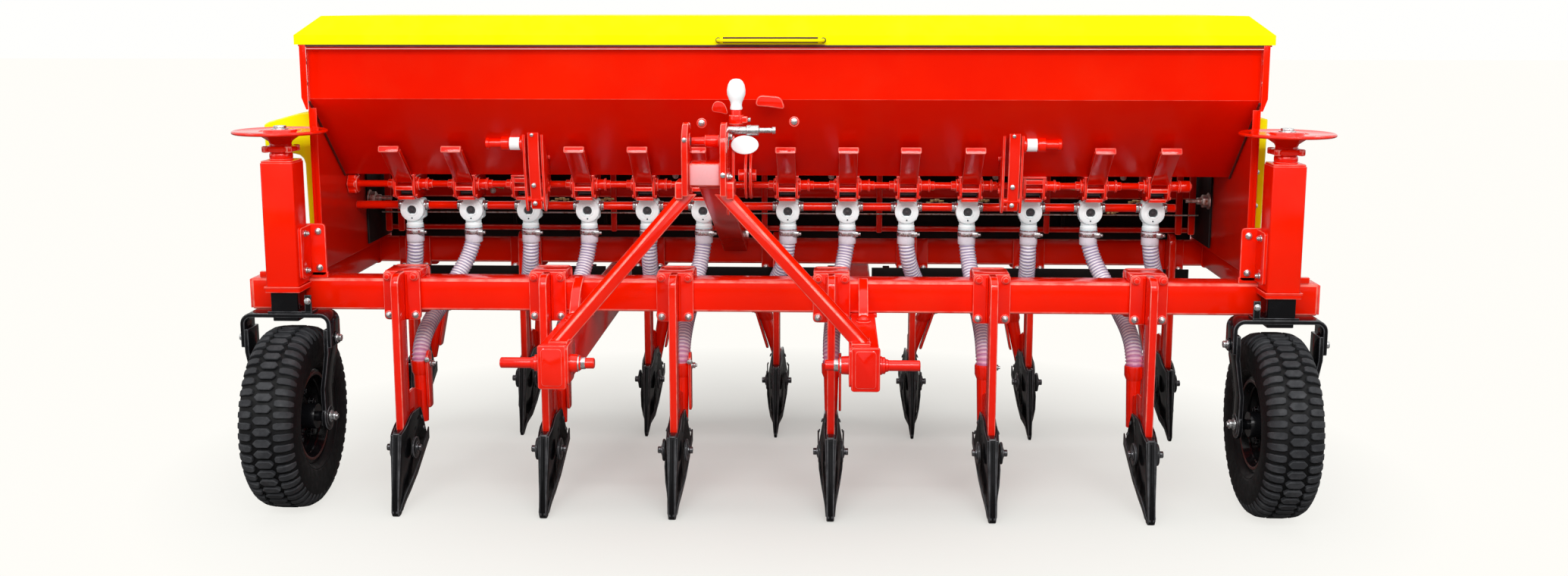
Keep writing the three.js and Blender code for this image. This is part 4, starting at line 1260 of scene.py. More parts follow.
@dataclass
class Tyre:
    """A block-tread tyre, drawn about the middle of the wheel with its axle along X."""

    shoulder: tuple[Point2, ...] = ((0, 214), (22, 213.3), (41, 210.5), (54, 203), (61, 192), (64, 178), (65, 165))
    blocks: int = 51
    depth: float = 9.5
    hexagon: Point2 = (21.5, 9.2)
    lug: Point2 = (26.0, 78.0)
    lug_half: float = 8.0

    def carcass(self) -> Form:
        """Turns the tyre's body, with a ribbed wall."""
        half = [
            (101.9, 43.2), (112.1, 43.2), (113, 47), (120, 55), (124, 57.5), (126, 57), (128, 59.5), (140, 63),
            (164, 64.5), (180, 63), (192, 58), (200, 50), (203.5, 38), (204.6, 20),
        ]
        return Form().lathe(Axis.X, [*half, *((r, -u) for r, u in reversed(half))], sides=102)

    def wrap(self, flat: Vector) -> Vector:
        """Bends a point of the flat tread (across, along, depth) round the wheel."""
        walked, side = 0.0, math.copysign(1, flat.x)
        for a, b in zip(self.shoulder, self.shoulder[1:]):
            step = math.dist(a, b)
            if abs(flat.x) <= walked + step or b == self.shoulder[-1]:
                break
            walked += step
        share = (abs(flat.x) - walked) / step
        across = a[0] + (b[0] - a[0]) * share
        radius = a[1] + (b[1] - a[1]) * share
        inward = Vector((b[1] - a[1], a[0] - b[0])).normalized()
        across, radius = across + inward.x * flat.z, radius + inward.y * flat.z
        angle = flat.y / self.shoulder[0][1]
        return Vector((side * across, radius * math.sin(angle), radius * math.cos(angle)))

    def tread(self) -> Form:
        """Makes one centre block and two shoulder lugs, wraps them, and repeats them round the wheel."""
        half, length = self.hexagon
        form = Form()
        short = half * 0.62
        outline = [(-half, 0), (-short, -length), (short, -length), (half, 0), (short, length), (-short, length)]
        form.plate(Axis.Z, outline, (0.0, self.depth + 2), 1.6, 1)
        pitch = 2 * math.pi * self.shoulder[0][1] / self.blocks
        start, end = self.lug
        for side in (-1, 1):
            wide = self.lug_half
            corners = [
                (start, -5.5), (start + 7, -wide), (end - 14, -wide), (end, -5), (end, 5), (end - 14, wide),
                (start + 7, wide), (start, 5.5),
            ]
            form.plate(Axis.Z, [(side * u, v + pitch / 2) for u, v in corners], (0.0, self.depth), 1.3, 1)
        form.score((1, 0, 0), [side * u for side in (-1, 1) for u in (34, 42, 49, 55, 61, 68, 74)])
        form.reshape(self.wrap)
        bmesh.ops.spin(
            form.bm,
            geom=[*form.bm.verts, *form.bm.edges, *form.bm.faces],
            cent=(0.0, 0.0, 0.0),
            axis=(1.0, 0.0, 0.0),
            angle=2 * math.pi * (self.blocks - 1) / self.blocks,
            steps=self.blocks - 1,
            use_duplicate=True,
        )
        return form


@dataclass
class DepthWheel(Assembly):
    """A height-adjusted wheel: column, handwheel, leg with fork, tyre and rim."""

    side: Side
    column_x: float = 1140.0
    column_y: float = -75.3
    axle_z: float = 214.0
    column_heights: Span = (516.0, 815.0)
    column_half: float = 37.5
    arch_heights: Span = (385.0, 466.0)
    arch_half: float = 106.0
    bar: float = 10.0
    wheel_top: float = 888.0
    arch_bolt_z: float = 403.0
    bar_bend: Span = (285.0, 373.0)
    bar_inside: float = 74.0

    def place(self, z: float = 0.0) -> Matrix:
        """Gives the place of the wheel's stand, turned so that +X points outwards."""
        return shifted(self.side.sign * self.column_x, self.column_y, z) @ Matrix.Diagonal((self.side.sign, 1, 1, 1))

    def piece(
        self, form: Form, name: str, finish: Finish, node: str, z: float = 0.0, slot: str | None = None
    ) -> None:
        """Delivers a shape drawn about the column's foot.

        Args:
            form: The shape, with +X pointing outwards.
            name: The piece's name, without the side.
            finish: Its surface.
            node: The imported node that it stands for, without the side.
            z: Height of the shape's own origin.
            slot: Its material slot, where it isn't the finish's own.
        """
        end = self.side.value
        body = {"tyre": f"wheel_{end}", "rim": f"wheel_{end}", "leg": f"leg_{end}"}.get(node, "frame")
        form.move(self.place(z)).deliver(f"{name}_{end}", finish, f"{node}_{end}", body=body, slot=slot)

    def column(self) -> None:
        """Builds the column, its cap and collar, the bracket that holds it and the bolts."""
        low, high = self.column_heights
        half = self.column_half
        form = Form()
        form.panel(Axis.Z, (-half, half), (-half, half), 5, (low, high), 0.8)
        form.panel(Axis.Z, (-half + 1, half - 1), (-half + 1, half - 1), 8, (high - 1, high + 5), 2.0)
        form.rod(Axis.Z, 27.0, (high + 4, high + 8), (0, 0), 36, 1.0)
        form.panel(Axis.Z, (-half - 3, half + 3), (-half - 3, half), 4, (low, low + 14), 1.5)
        form.panel(Axis.Z, (-half - 5, half + 5), (-half - 5, half), 4, (low + 10, low + 14), 1.0)
        form.panel(Axis.Y, (-79, 48), (543, 666), 10, (half + 1, half + 10), 1.4)
        form.panel(Axis.X, (-26, half + 9), (545, 664), 8, (-half - 8, -half - 0.4), 1.2)
        form.panel(Axis.Y, (-81, 81), (537, 552), 3, (half + 1, half + 10), 1.2)
        self.piece(form, "column_tube", RED, "column")
        bolts = Form()
        for z in (562, 648):
            bolts.bolt(Axis.Y, half + 1, (-63, z), -1, 11.0, 2.0)
            bolts.bolt(Axis.X, -half - 8, (0, z), -1, 11.0, 2.0)
        bolts.bolt(Axis.Y, half + 1, (44, 553), -1, 13.0, 5.0)
        self.piece(bolts, "column_bolts", ZINC, "column")

    def handwheel(self) -> None:
        """Builds the handwheel, with its collar, ears and screw."""
        base, top = self.column_heights[1] + 8.3, self.wheel_top
        profile = [
            (0, base), (25, base), (26, base + 2), (26, base + 10), (24, base + 14), (35, base + 17), (36.5, base + 20),
            (36.5, base + 25), (34, base + 28), (25, base + 30), (24, base + 34), (27, base + 40), (44, top - 13),
            (52, top - 8.5), (98, top - 7.5), (102.5, top - 7.5), (105.2, top - 6), (106, top - 3.6), (105, top - 1.2),
            (102.5, top), (99, top - 0.6), (96, top - 1.6), (48, top - 2), (46, top - 3.5), (40, top - 3.5),
            (38, top - 2), (36, top + 1), (33, top + 2), (0, top + 2),
        ]
        form = Form().lathe(Axis.Z, profile, sides=72)
        ear = Form().block((30, 44), (-7, 7), (base + 15, base + 30), 3)
        form.join(ear, [Matrix.Rotation(math.radians(angle), 4, "Z") for angle in (45, 135, 225, 315)])
        self.piece(form, "handwheel_dish", CAST_RED, "handwheel")
        screw = Form()
        screw.rod(Axis.Z, 19, (top + 1, top + 4), (0, 0), 28, 0.8).rod(Axis.Z, 15, (top + 3, top + 10), (0, 0), 6, 1.5)
        self.piece(screw, "handwheel_nut", ZINC, "handwheel")

    def fork(self) -> None:
        """Builds the leg's tube, the arch over the tyre and the two bars that carry the axle."""
        shoulder, top = self.arch_heights
        out, thick = self.arch_half, self.bar
        inner, upper = self.bar_inside, out - thick - 8
        low, high = self.bar_bend
        form = Form()
        form.panel(Axis.Z, (-31.7, 31.7), (-31.7, 31.7), 5, (top - 2, self.column_heights[0] + 200), 0.8)
        form.panel(Axis.Z, (-40, 40), (-34, 34), 4, (top, top + 5), 1.2)
        form.panel(Axis.Z, (-30, 30), (-27, 27), 4, (top - 19, top - 9), 1.2)
        for x in (-32.0, 31.0):
            form.panel(Axis.X, (-22, 22), (top + 8, top + 210), 4, (x, x + 1), 0.4)
        form.block((-64, -48), (-34, -28), (top + 3, top + 44), 1.8).block((-64, -38), (-34, 10), (top, top + 6), 1.8)
        corner = 26
        arch = [
            (-out, shoulder), *arc((-out + corner, top - corner), corner, 180, 90, 8),
            *arc((out - corner, top - corner), corner, 90, 0, 8), (out, shoulder), (out - thick, shoulder),
            *arc((out - corner, top - corner), corner - thick, 0, 90, 8),
            *arc((-out + corner, top - corner), corner - thick, 90, 180, 8), (-out + thick, shoulder),
        ]
        form.plate(Axis.Y, arch, (-33, 33), 2.0)
        for way in (-1, 1):
            bar = Form()
            outline = [(-33, 428), (33, 428), (34, 384), (31, 330), (29, 262), *arc((0, self.axle_z), 33, 34, -214, 18)]
            outline += [(-29, 262), (-31, 330), (-34, 384)]
            bar.plate(Axis.X, outline, (0, 10), 1.8)
            bar.rod(Axis.X, 25.0, (-1, 12), (0, self.axle_z), 36, 1.8)
            bar.score((0, 0, 1), (high, 340, 310, low))
            bar.reshape(
                lambda v, way=way: Vector(
                    (way * (v.x + inner + (upper - inner) * min(1, max(0, (v.z - low) / (high - low)))), v.y, v.z)
                )
            )
            form.join(bar).rod(Axis.X, 15.0, ordered(way * (out - 1), way * (out + 4)), (0, self.arch_bolt_z), 24, 1.0)
        form.rod(Axis.X, 12.3, (-80, 80), (0, self.axle_z), 24)
        self.piece(form, "fork", BLACK, "leg")
        bolts = Form()
        for way in (-1, 1):
            bolts.bolt(Axis.X, way * (out + 4), (0, self.arch_bolt_z), way, 15.0)
            bolts.bolt(Axis.X, way * 85.5, (0, self.axle_z), way, 20.0, 4.0)
        bolts.bolt(Axis.Y, -34, (-56, top + 30), -1, 11.0)
        self.piece(bolts, "fork_bolts", ZINC, "leg")

    def wheel(self) -> None:
        """Builds the tyre and the rim."""
        tyre = Tyre()
        self.piece(tyre.carcass(), "tyre_carcass", CARCASS, "tyre", self.axle_z)
        self.piece(tyre.tread(), "tyre_tread", TREAD, "tyre", self.axle_z)
        hub, well, rim, half = 13.0, 89.6, 101.6, 46.0
        profile = [
            (hub, -54), (29, -54), (30, -52), (30, -12), (44, -10), (48, -14), (well - 12, -16), (well - 4, -12),
            (rim - 5, -half),
            (110, -half), (111.6, -half + 1), (111.6, -half + 2.5), (rim, -half + 2.5), (well, -half + 18),
            (well, half - 18),
            (rim, half - 2.5), (111.6, half - 2.5), (111.6, half - 1), (110, half), (rim - 5, half), (well - 4, 0),
            (well - 12, -8),
            (48, -6), (44, -2), (30, 0), (30, 52), (29, 54), (hub, 54),
        ]
        form = Form().lathe(Axis.X, profile, sides=72)
        bolts = Form()
        for at in round_steps((0, 0), 60, 5, 90):
            bolts.bolt(Axis.X, -15, at, -1, 16.0, 4.0).bolt(Axis.X, -7, at, 1, 16.0, 3.0)
        self.piece(form, "rim_dish", BLACK, "rim", self.axle_z)
        self.piece(bolts, "rim_bolts", BLACK, "rim", self.axle_z)
        edges = Form()
        for way in (-1, 1):
            profile = [(96.8, way * 45.2), (98, way * 47), (102, way * 47.6), (104, way * 46.2), (102, way * 45.5)]
            edges.lathe(Axis.X, profile, sides=72)
        self.piece(edges, "rim_lip", SHADE_AND_RIM_BROWN, "rim", self.axle_z, "black_paint")

    def build(self) -> None:
        """Builds the whole stand."""
        self.column()
        self.handwheel()
        self.fork()
        self.wheel()


def band(line: Sequence[Point2], thick: float) -> list[Point2]:
    """Gives the outline of a strip that is bent along a line.

    Args:
        line: The middle of the strip, as two or more points.
        thick: The strip's thickness.

    Returns:
        The outline.
    """
    points = [Vector(p) for p in line]
    out, back = [], []
    for i, point in enumerate(points):
        ahead = (points[min(i + 1, len(points) - 1)] - points[max(i - 1, 0)]).normalized()
        side = Vector((-ahead.y, ahead.x)) * thick / 2
        out.append(tuple(point + side))
        back.append(tuple(point - side))
    return out + back[::-1]


def bow(start: Point2, pull: Point2, end: Point2, steps: int = 8) -> list[Point2]:
    """Gives points on a smooth bend from a start to an end, drawn towards a third point."""
    a, b, c = Vector(start), Vector(pull), Vector(end)
    line = (a * (1 - t) ** 2 + b * 2 * t * (1 - t) + c * t**2 for t in (i / steps for i in range(steps + 1)))
    return [tuple(p) for p in line]


@dataclass
class Hitch(Assembly):
    """The three-point hitch: mast, beam, braces and the two lower arms with their pins."""

    mast_x: float = -157.0
    mast_y: Span = (-215.0, -115.0)
    mast_z: Span = (756.0, 915.0)
    mast_inside: float = 35.0
    mast_plate: float = 14.0
    block_z: Span = (776.0, 826.0)
    arm_half: float = 28.0
    arm_y: Span = (-400.0, 709.5)
    arm_z: Span = (369.2, 461.2)
    pin_at: Point2 = (-366.0, 417.0)
    pin_radius: float = 11.5
    long_end: float = 88.0
    short_end: float = 58.0
    brace_foot: float = 26.0
    disc_at: Point2 = (212.0, 756.0)
    wing_bolts: tuple[Point2, ...] = ((-182.0, 898.0), (34.0, 902.0))

    def mast(self) -> None:
        """Builds the two mast plates, the block between them, and the pins behind."""
        low, high = self.mast_z
        front, back = self.mast_y
        mid, inner = (front + back) / 2, self.mast_inside
        outer = inner + self.mast_plate
        link, keeper = (mid, high - 42), (back + 12, 868)
        outline = [(back, low), *arc((mid, high - 50), 50, 0, 180, 20), (front, low)]
        form = Form()
        for span in ((-outer, -inner), (inner, outer)):
            form.plate(Axis.X, outline, span, 2.0)
            form.rod(Axis.X, 19.0, (span[0] - 2, span[1] + 2), link, 32, 0.8)
        form.block((-inner, inner), (front + 20, back), self.block_z, 4)
        form.rod(Axis.X, 9.0, (-inner, inner), keeper, 24).rod(Axis.X, 14, (-6, 26), keeper, 24, 1.5)
        form.plate(
            Axis.X, rounded([(back - 2, 700), (back - 2, 890), (back + 22, 880), (back + 22, 700)], 10),
            (outer - 6, outer), 1.5,
        )
        for x in (-outer - 7, outer + 7):
            form.block((x - 9, x + 9), (front + 12, back - 10), (low - 8, low + 30), 3)
        # Painted shade: thin dark discs where the link holes would be.
        hole_shades = Form()
        for x in (-outer - 2.4, -inner + 2.4, inner - 2.4, outer + 2.4):
            hole_shades.rod(Axis.X, 10.0, (x - 0.3, x + 0.3), link, 28)
        # Painted highlight: a thin pale slab on the block's front face, where light catches it.
        face = Form().block(
            (-inner + 3, inner - 3), (front + 18.6, front + 21), (self.block_z[0] + 3, self.block_z[1] - 3), 1.0
        )
        bolts = Form()
        bolts.bolt(Axis.Y, front, (inner + 7, 803), -1, 8.0).bolt(Axis.X, outer, (front + 40, 795), 1, 12.0, 3.0)
        bolts.bolt(Axis.Y, front, (-inner - 7, 880), -1, 7.0).bolt(Axis.X, outer, (back - 20, 880), 1, 12.0)
        for part, name, finish in (
            (form, "mast_plates", CAST_RED), (hole_shades, "link_hole_shade", RECESS_SHADE), (face, "block_face_highlight", HIGHLIGHT_RED),
            (bolts, "mast_bolts", ZINC),
        ):
            part.move(shifted(self.mast_x)).deliver(name, finish, "hitch_mast")
        copy_of_node("mast_beam", 3.0).deliver("mast_beam_tube", RED, "mast_beam")

    def brace(self, side: Side) -> None:
        """Builds one of the square tubes from the mast down to an arm, with its foot plate."""
        node = f"mast_brace_{side.value}"
        form = copy_of_node(node, 4.0, 3)
        low, high = node_box(node)
        foot = high.x - self.brace_foot if side is Side.RIGHT else low.x + self.brace_foot
        form.block((foot - 20, foot + 20), (low.y - 8, low.y + 56), (low.z - 0.2, low.z + 5), 1.5)
        form.deliver(f"{node}_tube", CAST_RED, node)

    def arm(self, side: Side) -> None:
        """Builds a lower arm with its end plate, cheek, gusset strap and pin."""
        node = f"hitch_arm_{side.value}"
        half, front = self.arm_half, self.arm_y[0]
        low, high = self.arm_z
        left, right = (corner.x for corner in node_box(node))
        x = left + self.short_end + half if side is Side.RIGHT else right - self.short_end - half
        place = shifted(x) @ Matrix.Diagonal((side.sign, 1, 1, 1))
        form = Form().panel(Axis.Y, (-half, half), (low, high), 5, (front + 4, self.arm_y[1]), 0.8)
        form.panel(Axis.Y, (-half - 1, half + 1), (low - 1, high), 4, (front, front + 4), 1.0)
        form.panel(Axis.Y, (-half + 6, half - 6), (low + 6, high - 6), 8, (front - 2, front + 1), 0.8)
        bead = rounded(rectangle((-half - 0.5, half + 0.5), (low - 0.5, high - 0.5)), 5)
        form.wire([(u, front + 5.5, v) for u, v in bead], 2.4, 8, closed=True)
        cheek = rounded(
            [
                (front + 2, low + 6), (front + 2, high), (front + 84, high), (front + 96, high - 20),
                (front + 74, low + 6),
            ],
            12,
        )
        form.plate(Axis.X, cheek, (-half - 7, -half), 1.4)
        radius, near, far = self.pin_radius, -half - self.short_end, half + self.long_end
        steps = [
            (0, near), (radius - 2, near), (radius, near + 2), (radius, -half - 30), (15, -half - 29), (16, -half - 24),
            (19, -half - 22), (20, -half - 7), (20, half + 6), (18, half + 8), (18, half + 13), (14, half + 15),
            (13, half + 20), (radius, half + 21), (radius, far - 3), (radius - 1, far - 1), (radius - 3, far), (0, far),
        ]
        form.lathe(Axis.X, steps, (0, *self.pin_at), 36)
        form.plate(Axis.X, band(bow((-30, 540), (-88, 528), (-118, high + 3)), 8), (-11, 11), 2.0)
        form.plate(Axis.X, [(-38, high), (-38, high + 34), (-62, high + 8), (-70, high)], (-4, 4), 1.0)
        form.ball((0, -134, high + 6), 13, (1.15, 1, 0.8), 12).rod(Axis.Z, 17, (high - 1, high + 3), (0, -134), 24, 1)
        form.block((-half - 5, half + 5), (-38, 38), (high - 10, high - 0.2), 2)
        form.move(place).deliver(f"{node}_tube", CAST_RED, node)
        bolts = Form()
        bolts.bolt(Axis.X, -half - 24, self.pin_at, -1, 24.0, 6.0)
        bolts.bolt(Axis.Y, front + 4, (half - 12, high - 8), -1, 5.0)
        bolts.move(place).deliver(f"{node}_nut", ZINC, node)

    def lever(self) -> None:
        """Builds the mixing lever beside the mast: knob, clamp, stepped pin and blank tag."""
        knob_x, y = -93.0, -90.0
        knob = [
            (0, 1007), (8, 1006), (14, 1002), (18.5, 994), (21, 982), (20.5, 972), (17, 962), (13.5, 955),
            (12.5, 948), (14, 941), (13, 938), (0, 938),
        ]
        form = Form().lathe(Axis.Z, knob, (knob_x, y, 0), 32)
        tag = [(31 * u - 72.5, 21 * v + 861) for u, v in round_steps((0, 0), 1, 36)]
        form.plate(Axis.Y, tag, (-124, -117), 2.2, 3)
        form.deliver("lever_knob", WHITE)
        arm = Form()
        arm.rod(Axis.Z, 12, (882, 940), (knob_x, y), 24, 1).rod(Axis.Z, 17, (905, 926), (knob_x, y), 28, 2)
        arm.block((knob_x + 6, knob_x + 26), (y - 10, y + 10), (908, 923), 3)
        arm.plate(
            Axis.X, band([(y - 4, 900), (-108, 856), (-110, 800), (-112, 770)], 12), (knob_x - 9, knob_x - 3), 1.5
        )
        for x in (-88, -76):
            arm.rod(Axis.X, 58, (x - 3, x + 3), self.disc_at, 44, 1.4)
        arm.rod(Axis.X, 15, (-108, -64), self.disc_at, 28, 1.5)
        for x0, x1, z in ((-160, -118, 925), (-58, 14, 938)):
            wing = rounded([(x0, z), (x0 + 8, z + 26), (x1 - 10, z + 22), (x1, z - 8), ((x0 + x1) / 2, z - 2)], 12)
            arm.plate(Axis.Y, wing, (22, 34), 3, 3)
        for x, z in self.wing_bolts:
            arm.rod(Axis.Y, 12, (28, 44), (x, z), 20, 2)
        arm.deliver("lever_arm", CAST_RED)
        pin = [
            (0, -111), (8, -111), (9, -109), (9, -70), (12, -68), (12, -42), (7, -40), (6, -38), (6, -12), (8, -11),
            (8, -4), (0, -4),
        ]
        form = Form().lathe(Axis.X, pin, (0, y - 22, 893), 28)
        form.rod(Axis.X, 5, (knob_x + 24, knob_x + 32), (y, 915), 6, 0.6)
        for x, z in self.wing_bolts:
            form.bolt(Axis.Y, 30, (x, z), -1, 11.0)
        form.deliver("lever_pin", ZINC)

    def build(self) -> None:
        """Builds the whole hitch."""
        self.mast()
        self.lever()
        for side in Side:
            self.brace(side)
            self.arm(side)


@dataclass
class Hopper(Assembly):
    """The seed box with its end plates, lid and chain guards."""

    half: float = 1108.0
    front: float = 22.0
    rear: float = 643.0
    rim: float = 1078.7
    crease: float = 952.0
    lid_front: float = 20.0
    handle_x: Span = (-141.0, 101.0)

    def ends(self) -> None:
        """Builds the end plates with their flanges, and the bolts through them."""
        trim = Form()
        for side in Side:
            s = side.sign
            node = f"end_plate_{side.value}"
            form = copy_of_node(node, 0.8)
            edge = [(s * (self.half - 6), self.crease - 24), (s * (self.half - 6), 560)]
            form.wire([(x, self.front - 1.5, z) for x, z in edge], 3.5, 10)
            rim, crease = self.rim - 1, self.crease
            steps = ((-2, rim), (13, rim), (13, crease + 4), (3, crease - 24), (-2, crease - 24))
            flange = [(s * (self.half + out), z) for out, z in steps]
            form.plate(Axis.Y, flange, (self.front - 2, self.front + 1), 0.8)
            form.deliver(f"{node}_sheet", SHEET_RED, node)
            for z in (1040, 990):
                for y in (self.front + 24, self.rear - 24):
                    trim.bolt(Axis.X, s * (self.half + 3), (y, z), s, 12.0)
            for y in (160, 480):
                trim.bolt(Axis.Z, 540, (s * (self.half + 40), y), 1, 13.0, 3.0)
        trim.deliver("hopper_bolts", ZINC, "end_plate_left", "end_plate_right")

    def lines(self) -> None:
        """Builds a painted highlight line along the rim, and painted shade lines in the gaps under the lid and beside
        the ends.
        """
        ends = (-self.half, self.half)
        # Painted highlight: a pale line just under the rim.
        glint = Form().block(ends, (self.front - 1.6, self.front + 1), (self.rim - 10.2, self.rim - 8.0), 0.5)
        glint.deliver("hopper_rim_highlight", HIGHLIGHT_RED, "hopper_front")
        # Painted shade: dark lines in the gap under the lid and where the slope meets each end plate.
        gap = Form().block(ends, (self.front - 1.0, self.front + 1), (self.rim - 5, self.rim + 0.5), 0.4)
        for side in Side:
            x = side.sign * (self.half - 3.5)
            gap.wire([(x, self.front + 5, self.crease - 6), (x, 258, 747)], 3.0, 8)
        gap.deliver("hopper_gap_shade", SHADE_AND_RIM_BROWN, "hopper_front", slot="red_paint")

    def handle(self) -> None:
        """Builds the lid's bent wire handle with its dark feet, and painted shade: dark lines along the grip and a
        painted shadow under it.
        """
        x0, x1 = self.handle_x
        y, z = self.lid_front, 1090.0
        bend = 12.0
        near, edge = y + 1, y - 17.5
        points = [
            (x0, near, z), (x0, (near + edge) / 2, z), (x0 + 0.4, edge + bend / 3, z), (x0 + bend / 3, edge + 0.4, z),
            (x0 + bend, edge, z),
        ]
        points += [(x0 + x1 - u, v, w) for u, v, w in reversed(points)]
        form = Form().wire([tuple(p) for p in eased(points, 3.0)], 4.6, 14)
        form.deliver("lid_handle_wire", YELLOW, "lid_handle", body="lid")
        # Painted shade: a dark strip for the handle's shadow on the lid, and dark lines along the top and bottom of the
        # grip.
        shade = Form()
        shade.block((x0 - 5, x1 + 5), (y - 1.8, y - 0.3), (z - 13, z - 10), 0.4)
        for rise, radius in ((-4.4, 2.1), (4.9, 3.0)):
            shade.wire([(x0 + bend, edge - 0.6, z + rise), (x1 - bend, edge - 0.6, z + rise)], radius, 8)
        for x in (x0, x1):
            shade.lathe(Axis.Y, [(4.7, y - 2), (6.2, y - 1.8), (6.4, y - 0.2), (4.7, y - 0.2)], (x, 0, z), 20)
        shade.deliver("lid_handle_feet_and_shade", SHADE_AND_RIM_BROWN, "lid_handle", body="lid", slot="yellow_paint")

    def guard(self, side: Side) -> None:
        """Builds a chain guard with its flange and screws."""
        node = f"chain_guard_{side.value}"
        copy_of_node(node, 3.0, 3).deliver(f"{node}_shell", YELLOW, node)
        low, high = node_box(node)
        screws = Form()
        s = side.sign
        for z in (600, 700, 780):
            screws.bolt(Axis.Y, low.y, (s * (self.half + 18), z), -1, 9.0)
        face = abs(high.x if s > 0 else low.x)
        for y in (130, 370):
            screws.dome(Axis.X, s * (self.half + 36), (y, 640), s, 7.0)
        if side is Side.LEFT:
            for y in (140, 250, 360):
                screws.dome(Axis.X, s * face, (y, 862), s, 7.0)
        screws.deliver(f"{node}_screws", ZINC, node)

    def build(self) -> None:
        """Builds the box, then what is bolted to it."""
        for node in ("hopper_front", "hopper_rear", "hopper_floor"):
            copy_of_node(node, 0.8).deliver(f"{node}_sheet", SHEET_RED, node)
        self.ends()
        self.lines()
        copy_of_node("lid", 0.8).deliver("lid_sheet", YELLOW, "lid", body="lid")
        self.handle()
        for side in Side:
            self.guard(side)


